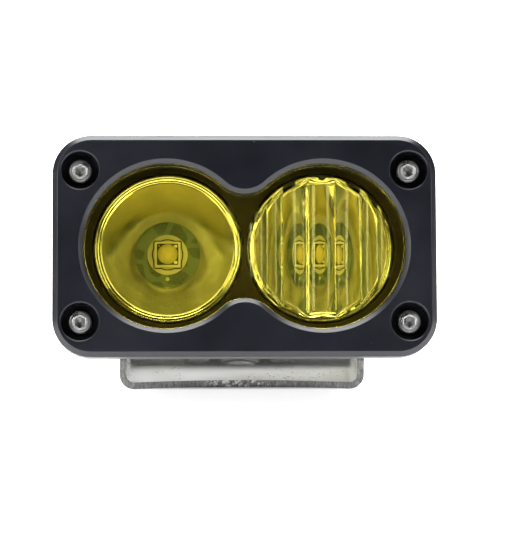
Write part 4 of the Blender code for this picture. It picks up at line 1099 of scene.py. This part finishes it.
class FOGLIGHT_OT_gland(Operator):
    """Mould the cable gland: hexagon collar, ribbed dome nut, gasket and the vent beside it."""
    bl_idname = "fog_light.gland"
    bl_label = "Gland and Vent"

    def execute(self, context):
        nylon = finish("nylon_black", moulded, "nylon_black", (0.018, 0.018, 0.019), 0.5, 1800)
        rubber = finish("seal_rubber", moulded, "seal_rubber", (0.014, 0.013, 0.012), 0.7)
        own = settings().fittings
        low, high = corners_in_head("gland_body")
        front, end = float(low[1]), float(high[1])
        nut_low, nut_high = corners_in_head("gland_nut")
        bore, spigot, neck, pitch = own.cable_bore, own.gland_spigot, own.gland_neck, own.gland_pitch
        collar_front = float(corners_in_head("gland_gasket")[1][1]) + CLEARANCE
        collar_rear = float(nut_low[1]) - CLEARANCE
        reach = float(high[0])
        steps = 144
        theta = angles(steps)[None, :]
        flats = reach * math.cos(math.pi / 6) + 0.25 * MM
        edge = 0.2 * MM
        rows = [(bore, front + edge), (bore + edge, front), (spigot - 0.3 * MM, front)]
        radii = [np.full((1, steps), r) for r, _ in rows]
        heights = [h for _, h in rows]
        along = np.linspace(front + 0.3 * MM, collar_front - 0.4 * MM, 60)
        wave = np.abs(((along[:, None] / pitch - theta / TURN) % 1.0) * 2 - 1)
        for r, h in zip(spigot - 0.35 * MM * wave, along):
            radii.append(r[None, :])
            heights.append(h)
        bevel = 0.35 * MM
        for size, h in ((-bevel, collar_front), (0, collar_front + bevel), (0, collar_rear - bevel),
                        (-bevel, collar_rear)):
            radii.append(np.minimum(hexagon(theta, flats + size, 0.5 * MM), reach))
            heights.append(h)
        for r, h in ((neck, collar_rear), (neck, end - edge), (neck - edge, end), (bore + edge, end),
                     (bore, end - edge)):
            radii.append(np.full((1, steps), r))
            heights.append(h)
        body = thing("gland_collar", [wound(np.vstack(radii), np.array(heights), steps, in_head, ring=True)])
        done(body, "head", [nylon], ["gland_body"])
        self.nut(nut_low, nut_high, bore, neck + CLEARANCE, nylon)
        low, high = corners_in_head("gland_gasket")
        outer, hole = float(high[0]), spigot + CLEARANCE
        bead = soften([((outer + hole) / 2, low[1]), (outer, low[1]), (outer, high[1]), (hole, high[1]),
                       (hole, low[1]), ((outer + hole) / 2, low[1])], 0.3 * MM, 4)[:-1]
        gasket = thing("gland_washer", [turned(bead, 96, in_head, ring=True)])
        done(gasket, "head", [rubber], ["gland_gasket"])
        self.vent(nylon)
        return {"FINISHED"}

    def nut(self, low, high, bore, cavity, nylon):
        """The dome nut: its radius is a softened profile, less a raised cosine of the turn along the grip
        and easing out towards the dome."""
        front, end, radius = float(low[1]), float(high[1]), float(high[0])
        span = end - front
        dome = np.linspace(0, math.pi / 2, 14)
        crown = 2.6 * MM
        skirt = [(radius - 0.25 * MM, front), (radius, front + 0.25 * MM), (radius, front + 0.5 * MM),
                 (radius, end - crown - 1.3 * MM), (radius - 0.3 * MM, end - crown - 0.9 * MM)]
        top_radius = radius - 0.3 * MM
        mouth = bore + 0.5 * MM
        over = [(mouth + (top_radius - mouth) * math.cos(a), end - crown + crown * math.sin(a)) for a in dome]
        inside = [(bore, end - 0.5 * MM), (bore, end - 1.8 * MM), (cavity, end - 1.8 * MM), (cavity, front)]
        profile = np.array(skirt[:3] + [(radius, front + 0.5 * MM + (span - crown - 1.8 * MM) * t)
                                        for t in np.linspace(0.05, 0.95, 16)] + skirt[3:] + over + inside)
        steps = 24 * settings().fittings.gland_ribs
        theta = angles(steps)[None, :]
        grip_start, grip_end = front + 0.6 * MM, end - crown - 1.3 * MM
        h = profile[:, 1:]
        ease, outermost = 0.5 * MM, profile[:, :1] > radius - 0.01 * MM
        on = np.clip(np.minimum(h - grip_start, grip_end - h) / ease, 0, 1) * outermost
        wave = (0.5 - 0.5 * np.cos(theta * settings().fittings.gland_ribs)) ** 3
        radii = profile[:, :1] - 0.55 * MM * on * wave
        item = thing("gland_dome_nut", [wound(radii, profile[:, 1], steps, in_head, ring=True)])
        done(item, "head", [nylon], ["gland_nut"], sharp=45)

    def vent(self, nylon):
        """The pressure vent: a stem and a cap whose rim dips in eight shallow slots."""
        low, high = corners_in_head("vent_plug")
        x, _, z = (low + high) / 2
        radius, rear, front = float(high[0] - x), float(high[1]), float(low[1])
        steps = 128
        theta = angles(steps)[None, :]
        seat = rear - 1.4 * MM
        rows = [(0.4 * MM, front), (1.5 * MM, front), (1.7 * MM, front + 0.2 * MM), (1.7 * MM, seat),
                (radius - 0.1 * MM, seat), (radius, seat + 0.15 * MM), (radius, rear - 0.45 * MM),
                (radius - 0.12 * MM, rear - 0.18 * MM), (radius - 0.4 * MM, rear), (1.2 * MM, rear),
                (1.1 * MM, rear - 0.12 * MM), (0.3 * MM, rear - 0.12 * MM)]
        profile = np.array(rows)
        slot = (0.5 + 0.5 * np.cos(8 * theta)) ** 6
        on = ((profile[:, :1] > radius - 0.5 * MM) & (profile[:, 1:] > seat + 0.05 * MM)).astype(float)
        radii = profile[:, :1] - 0.22 * MM * slot * on
        item = thing("vent_cap", [wound(radii, profile[:, 1], steps, about(x, z))])
        done(item, "head", [nylon], ["vent_plug"], sharp=45)


class FOGLIGHT_OT_pivots(Operator):
    """Turn the pivot bolts and stack their washers."""
    bl_idname = "fog_light.pivots"
    bl_label = "Pivots"

    def washer(self, name, node, place, hole, low, high, look, slot_name, edge=0.15 * MM):
        """A flat ring with softened edges, turned about the pivot."""
        radius = float(corners_in_head(node)[1][2])
        middle = (radius + hole) / 2
        profile = soften([(middle, low), (radius, low), (radius, high), (hole, high), (hole, low),
                          (middle, low)], edge, 3)[:-1]
        item = thing(name, [turned(profile, 96, place, ring=True)])
        done(item, "head", [look], [node])

    def lock_washer(self, name, node, place, hole, low, high, look):
        """A split spring washer: a softened square section carried round an arc that stops at the split,
        rising a little from one end to the other."""
        radius = float(corners_in_head(node)[1][2])
        steps, half_rise = 120, 0.08
        gap = math.asin(0.5 * MM / radius) + 0.04
        swing = np.linspace(gap, TURN - gap, steps) + math.pi / 2
        rise = np.linspace(-half_rise, half_rise, steps) * MM
        under, over, middle = low + 0.09 * MM, high - 0.09 * MM, (radius + hole) / 2
        section = soften([(middle, under), (radius, under), (radius, over), (hole, over), (hole, under),
                          (middle, under)], 0.14 * MM, 3)[:-1]
        r, h = section[None, :, 0], section[None, :, 1] + rise[:, None]
        grid = np.stack([r * np.cos(swing)[:, None], h, r * np.sin(swing)[:, None]], -1)
        points, faces, _ = sleeve(grid)
        marks = np.stack([np.hypot(points[:, 0], points[:, 2]), points[:, 1]], -1)
        item = thing(name, [(place(points), faces, marks)])
        done(item, "head", [look], [node])

    def execute(self, context):
        spring = finish("spring_steel", machined, "spring_steel", (0.42, 0.42, 0.41), 0.34)
        plain = finish("washer_steel", machined, "washer_steel", (0.66, 0.66, 0.64), 0.3)
        nylon = finish("nylon_black", moulded, "nylon_black", (0.018, 0.018, 0.019), 0.5, 1800)
        own = settings().fittings
        for label, side in SIDES:
            place = outward(side)

            def span(node):
                """Nearest and furthest distance of a piece from the lamp's middle."""
                low, high = corners_in_head(node + "_" + label)
                ends = sorted((abs(float(low[0])), abs(float(high[0]))))
                return ends[0], ends[1]
            tip, top = span("pivot_bolt")
            head_radius = float(corners_in_head("pivot_bolt_" + label)[1][2])
            bolt = screw("pivot_bolt_" + label + "_turned", place,
                         (top, span("lock_washer")[1] + CLEARANCE, head_radius, 1.1 * MM),
                         (tip, own.pivot_shank), (own.pivot_socket, 1.6 * MM), own.pivot_pitch, 120)
            done(bolt, "head", [steel_look()], ["pivot_bolt_" + label], sharp=40)
            hole = own.pivot_shank + CLEARANCE
            self.washer("pivot_flat_" + label, "flat_washer_" + label, place, hole,
                        *span("flat_washer"), plain, "fastener_steel")
            self.washer("pivot_friction_" + label, "friction_washer_" + label, place, hole,
                        *span("friction_washer"), nylon, "nylon_black")
            self.lock_washer("pivot_spring_" + label, "lock_washer_" + label, place, hole,
                             *span("lock_washer"), spring)
        return {"FINISHED"}


class FOGLIGHT_OT_bracket(Operator):
    """Cut, bend and edge the stainless bracket."""
    bl_idname = "fog_light.bracket"
    bl_label = "Bracket"

    def reach(self, height):
        """Half the arm's depth at a height: the plate's half depth, drawn in by the shoulder's corner,
        then the fillet and the strip, and last the circle of the round top."""
        own = settings().bracket
        half = (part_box("bracket")[1].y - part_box("bracket")[0].y) / 2
        corner, fillet, arm = own.shoulder_corner, own.shoulder_fillet, own.arm_radius
        low = height <= own.shoulder
        near = np.clip((height - (own.shoulder - corner)) / corner, 0, 1)
        body = half - corner + corner * np.sqrt(1 - near ** 2)
        up = np.clip((own.shoulder + fillet - height) / fillet, 0, 1)
        strip = arm + fillet - fillet * np.sqrt(np.maximum(1 - up ** 2, 0))
        over = np.clip((height - PIVOT[2]) / arm, 0, 1)
        top = arm * np.sqrt(np.maximum(1 - over ** 2, 0))
        return np.where(low, body, np.where(height <= PIVOT[2], strip, top))

    def path(self, along, half_x, rise, bend):
        """A point of the sheet's middle at a length along it from the plate's centre: straight to the bend,
        round a quarter circle, then straight up."""
        flat = half_x - bend
        arc = bend * math.pi / 2
        s = np.abs(along)
        turn = np.clip((s - flat) / bend, 0, math.pi / 2)
        x = np.minimum(s, flat) + bend * np.sin(turn)
        z = rise + bend * (1 - np.cos(turn)) + np.maximum(s - flat - arc, 0)
        return np.sign(along) * x, z

    def execute(self, context):
        own = settings().bracket
        low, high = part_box("bracket")
        half, top = (high.y - low.y) / 2, PIVOT[2] + own.arm_radius
        sheet = own.sheet
        half_x, rise = (high.x - low.x) / 2 - sheet / 2, sheet / 2
        bend = own.bend + sheet / 2
        lift = half_x - bend + bend * math.pi / 2 - (rise + bend)
        ends = top + lift
        shoulder = own.shoulder + lift
        crown = PIVOT[2] + lift
        swing = np.linspace(0, math.pi / 2, 22)[:-1]
        tops = crown + own.arm_radius * np.sin(swing)
        tops = np.append(tops, crown + own.arm_radius * 0.9985)
        corner = shoulder - own.shoulder_corner * (1 - np.sin(np.linspace(0, math.pi / 2, 9)))
        fillet = shoulder + own.shoulder_fillet * (1 - np.cos(np.linspace(0, math.pi / 2, 10)))
        straight = np.linspace(fillet[-1], crown, 14)
        plate = np.linspace(0, half_x - bend, 46)
        round_part = half_x - bend + bend * np.linspace(0, math.pi / 2, 15)
        above = np.linspace(round_part[-1], corner[0], 5)
        half_along = np.concatenate([plate, round_part, above, corner, fillet, straight, tops])
        half_along = np.unique(np.round(half_along, 8))
        half_along = half_along[np.concatenate([[True], np.diff(half_along) > COLUMN_GAP])]
        along = np.concatenate([-half_along[:0:-1], half_along])
        height = np.abs(along) - lift
        narrow = np.abs(along) > shoulder + 1e-9
        near = 0.006 * MM
        at_shoulder = np.abs(np.abs(along) - shoulder) < near
        wide = np.where(narrow, own.arm_radius, self.reach(np.minimum(height, own.shoulder)))
        core = self.reach(np.where(at_shoulder, own.shoulder + 1e-7, np.maximum(height, own.shoulder + 1e-7)))
        core = np.where(narrow | at_shoulder, core, own.arm_radius + own.shoulder_fillet)
        scallop = own.scallop * np.clip(np.cos(along / (half_x + PAST) * math.pi / 2), 0, 1)
        scallop = np.where(np.abs(along) < half_x, scallop, 0)
        inner = np.linspace(-1, 1, 33)
        wing = np.linspace(0, 1, 9)[1:]
        y_core = core[:, None] * inner[None, :]
        front = -(core[:, None] + (wide - core - scallop)[:, None] * wing[None, :])
        rear = core[:, None] + (wide - core)[:, None] * wing[None, :]
        y = np.hstack([front[:, ::-1], y_core, rear])
        x, z = self.path(along, half_x, rise, bend)
        points = np.stack([np.broadcast_to(x[:, None], y.shape), y + PIVOT[1],
                           np.broadcast_to(z[:, None], y.shape)], -1)
        rows, columns = y.shape
        index = np.arange(rows * columns).reshape(rows, columns)
        quads = np.stack([index[:-1, :-1], index[:-1, 1:], index[1:, 1:], index[1:, :-1]], -1)
        in_wing = np.zeros(columns - 1, bool)
        in_wing[:len(wing)] = in_wing[-len(wing):] = True
        past = np.maximum(np.abs(along[:-1]), np.abs(along[1:])) > shoulder + near
        keep = ~(past[:, None] & in_wing[None, :])
        mesh = bpy.data.meshes.new("bracket_blank")
        mesh.from_pydata(points.reshape(-1, 3).tolist(), [], quads[keep].tolist())
        used = np.zeros(rows * columns, bool)
        used[quads[keep].ravel()] = True
        item = bpy.data.objects.new("bent_bracket", mesh)
        bpy.context.scene.collection.objects.link(item)
        loose = np.flatnonzero(~used)
        work = bmesh.new()
        work.from_mesh(mesh)
        work.verts.ensure_lookup_table()
        bmesh.ops.delete(work, geom=[work.verts[i] for i in loose], context="VERTS")
        work.to_mesh(mesh)
        work.free()
        mesh.materials.append(None)
        mesh.materials.append(None)
        solid = item.modifiers.new("Sheet", "SOLIDIFY")
        solid.thickness = sheet
        solid.offset = 0
        solid.use_even_offset = True
        solid.material_offset_rim = 1
        baked(item)
        soft = item.modifiers.new("Edges", "BEVEL")
        soft.width = own.edge
        soft.segments = 3
        soft.limit_method = "ANGLE"
        soft.angle_limit = math.radians(50)
        baked(item)
        self.drill(item, own, sheet)
        looks = [finish("stainless_sheet", stainless_sheet), finish("sheared_edge", sheared_edge)]
        done(item, "bracket", looks, ["bracket"], sharp=40)
        return {"FINISHED"}

    def drill(self, item, own, sheet):
        """Punches the plate's and the arms' holes, each with a small chamfer at both faces."""
        edge = own.edge

        def punch(radius, low, high, place):
            profile = [(radius + edge + PAST, low - PAST), (radius, low + edge), (radius, high - edge),
                       (radius + edge + PAST, high + PAST)]
            return turned(profile, 72, place)

        def upright(centre_x):
            def place(points):
                return np.stack([points[..., 0] + centre_x, points[..., 2] + PIVOT[1], points[..., 1]], -1)
            return place
        half_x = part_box("bracket")[1].x
        punches = [punch(own.mount_hole, 0, sheet, upright(0)),
                   punch(own.side_hole, 0, sheet, upright(-own.side_offset)),
                   punch(own.side_hole, 0, sheet, upright(own.side_offset))]
        for _, side in SIDES:
            punches.append(punch(own.pivot_hole, half_x - sheet, half_x, outward(side)))
        cut(item, thing("punches", punches))


class FOGLIGHT_OT_inside(Operator):
    """Finish the pieces inside the housing: pads, driver board and its parts, locknut and cable seal."""
    bl_idname = "fog_light.inside"
    bl_label = "Inside"

    def execute(self, context):
        green = finish("driver_green", solder_mask, "driver_green", (0.02, 0.11, 0.04))
        dress(green, "driver_board")
        dress(finish("thermal_grey", moulded, "thermal_grey", (0.42, 0.44, 0.46), 0.8), "left_thermal_pad",
              "right_thermal_pad")
        dress(finish("component_dark", moulded, "component_dark", (0.02, 0.02, 0.022), 0.5), "driver_chip")
        dress(finish("ferrite_grey", moulded, "ferrite_grey", (0.07, 0.07, 0.075), 0.6), "inductor")
        dress(finish("can_dark", moulded, "can_dark", (0.03, 0.035, 0.06), 0.35), "capacitor_left",
              "capacitor_right")
        dress(finish("terminal_green", moulded, "terminal_green", (0.03, 0.24, 0.07), 0.45), "terminal_block")
        dress(finish("tinned_brass", machined, "tinned_brass", (0.75, 0.70, 0.58), 0.3), "jumper_pin_left",
              "jumper_pin_right")
        dress(steel_look(), "driver_screw_left", "driver_screw_right")
        nylon = finish("nylon_black", moulded, "nylon_black", (0.018, 0.018, 0.019), 0.5, 1800)
        dress(nylon, "gland_locknut")
        dress(finish("seal_rubber", moulded, "seal_rubber", (0.014, 0.013, 0.012), 0.7), "gland_seal")
        return {"FINISHED"}


# Each light's name, share of the power, width and height, place, and the point that it faces, in metres
SOFTBOXES = (("softbox_top", 1.0, (0.7, 0.6), (0.0, 0.17, 0.72), (0, 0, 0.02)),
             ("softbox_left", 0.27, (0.35, 0.5), (-0.62, -0.38, 0.38), (0, 0, 0.03)),
             ("softbox_right", 0.2, (0.35, 0.5), (0.62, -0.38, 0.42), (0, 0, 0.03)))
WORLD_DIM, WORLD_BRIGHT = 0.11, 1.3            # strength on the camera's side, and behind the lamp
CAMERA_PLACE = (-0.0162, -0.5500, 0.1837)      # metres
CAMERA_TURN = (73.62, -0.48, -1.83)            # degrees about x, y and z
# Outside the bracket's plate the floor's glow is painted light that fills the lamp's shadow; under the plate the
# floor keeps its shade.
PLATE_HALF = (24.5 * MM, 15.0 * MM)            # the bracket's plate, under which the floor doesn't glow


class FOGLIGHT_OT_studio(Operator):
    """Set the pale floor, the soft lights, the surroundings and the camera."""
    bl_idname = "fog_light.studio"
    bl_label = "Studio"

    def softbox(self, name, power, size, place, target):
        """A white rectangle of light that faces a point."""
        light = bpy.data.lights.new(name, "AREA")
        light.energy = power
        light.shape, light.size, light.size_y = "RECTANGLE", size[0], size[1]
        item = bpy.data.objects.new(name, light)
        item.location = place
        item.rotation_euler = (Vector(target) - Vector(place)).to_track_quat("-Z", "Y").to_euler()
        bpy.context.scene.collection.objects.link(item)
        return item

    def surroundings(self):
        """White walls behind and above the lamp, falling to a dim grey on the camera's side."""
        world = bpy.data.worlds.new("studio")
        bpy.context.scene.world = world
        world.use_nodes = True
        tree = world.node_tree
        place = tree.nodes.new("ShaderNodeTexCoord").outputs["Generated"]
        parts = tree.nodes.new("ShaderNodeSeparateXYZ")
        tree.links.new(place, parts.inputs[0])
        fall = tree.nodes.new("ShaderNodeMapRange")
        fall.interpolation_type = "SMOOTHSTEP"
        for key, value in (("From Min", -0.8), ("From Max", 0.3), ("To Min", WORLD_DIM),
                           ("To Max", WORLD_BRIGHT)):
            fall.inputs[key].default_value = value
        tree.links.new(parts.outputs[1], fall.inputs["Value"])
        tree.links.new(fall.outputs[0], tree.nodes["Background"].inputs["Strength"])

    def execute(self, context):
        own = settings().studio
        scene = bpy.context.scene
        scene.view_settings.view_transform = "Standard"
        self.surroundings()
        for name, share, size, place, target in SOFTBOXES:
            self.softbox(name, own.softbox * share, size, place, target)
        card = self.softbox("card_under", own.card, (0.044, 0.005), (0.0, PIVOT[1] - 0.004, 0.0052),
                            (0, -0.02, 0.0))
        card.visible_camera = False
        reach, count = 3.0, 9
        mesh = bpy.data.meshes.new("floor")
        steps = np.linspace(-reach, reach, count)
        grid = np.stack(np.meshgrid(steps, steps, indexing="ij"), -1).reshape(-1, 2)
        index = np.arange(count * count).reshape(count, count)
        quads = np.stack([index[:-1, :-1], index[1:, :-1], index[1:, 1:], index[:-1, 1:]], -1).reshape(-1, 4)
        flat = np.zeros((count * count, 1))
        mesh.from_pydata(np.hstack([grid, flat]).tolist(), [], quads.tolist())
        floor = bpy.data.objects.new("floor", mesh)
        scene.collection.objects.link(floor)
        paper = Finish("floor_paper", own.floor, 0.0, 0.7, Specular_IOR_Level=0.2)
        # Painted light: the floor glows white to fill the lamp's shadow on it. The glow stops under the bracket's
        # plate, so the floor seen through the plate's holes keeps its shade.
        paper.shader.inputs["Emission Color"].default_value = (1, 1, 1, 1)
        half_x, half_y = PLATE_HALF
        shares = paper.stretched((1 / half_x, 1 / half_y, 1), offset=(0, -PIVOT[1] / half_y, 0))
        away = paper.node("ShaderNodeSeparateXYZ", {0: shares})
        span = paper.maths("MAXIMUM", paper.maths("ABSOLUTE", away.outputs[0]),
                           paper.maths("ABSOLUTE", away.outputs[1]))
        paper.link(paper.ranged(span, 0.9, 1.0, 0.0, own.floor_glow), "Emission Strength")
        paper.link(paper.bump(paper.noise(700, 3), 0.02 * MM, 0.2), "Normal")
        mesh.materials.append(paper.material)
        camera = bpy.data.cameras.new("camera")
        camera.lens = own.lens
        camera.sensor_width = 36.0
        camera.dof.use_dof = False
        item = bpy.data.objects.new("camera", camera)
        item.location = CAMERA_PLACE
        item.rotation_euler = tuple(math.radians(a) for a in CAMERA_TURN)
        scene.collection.objects.link(item)
        scene.camera = item
        return {"FINISHED"}


class FOGLIGHT_PT_panel(Panel):
    """Lists the fog light's settings and its making."""
    bl_label = "Fog Light"
    bl_idname = "FOGLIGHT_PT_panel"
    bl_space_type = "VIEW_3D"
    bl_region_type = "UI"
    bl_category = "Fog Light"

    def draw(self, context):
        own = context.scene.fog_light
        for group in ("opening", "bezel", "optics", "fittings", "bracket", "finishes", "studio"):
            box = self.layout.box()
            box.label(text=group.capitalize())
            values = getattr(own, group)
            for key in values.__annotations__:
                box.prop(values, key)
        for maker in MAKERS:
            self.layout.operator(maker.bl_idname)


SETTINGS = (OpeningSettings, BezelSettings, OpticsSettings, FittingSettings, BracketSettings, FinishSettings,
            StudioSettings, FogLightSettings)
MAKERS = (FOGLIGHT_OT_bezel, FOGLIGHT_OT_bezel_screws, FOGLIGHT_OT_lens, FOGLIGHT_OT_seal,
          FOGLIGHT_OT_reflectors, FOGLIGHT_OT_leds, FOGLIGHT_OT_led_board, FOGLIGHT_OT_housing,
          FOGLIGHT_OT_gland, FOGLIGHT_OT_pivots, FOGLIGHT_OT_bracket, FOGLIGHT_OT_inside, FOGLIGHT_OT_studio)
CLASSES = SETTINGS + MAKERS + (FOGLIGHT_PT_panel,)


def register():
    """Registers the classes and hangs the settings on the scene."""
    for item in CLASSES:
        bpy.utils.register_class(item)
    bpy.types.Scene.fog_light = PointerProperty(type=FogLightSettings)


def unregister():
    """Undoes register."""
    del bpy.types.Scene.fog_light
    for item in reversed(CLASSES):
        bpy.utils.unregister_class(item)


def main():
    """Registers the add-on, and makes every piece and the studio."""
    register()
    for maker in MAKERS:
        group, name = maker.bl_idname.split(".")
        getattr(getattr(bpy.ops, group), name)()


if __name__ == "__main__":
    main()
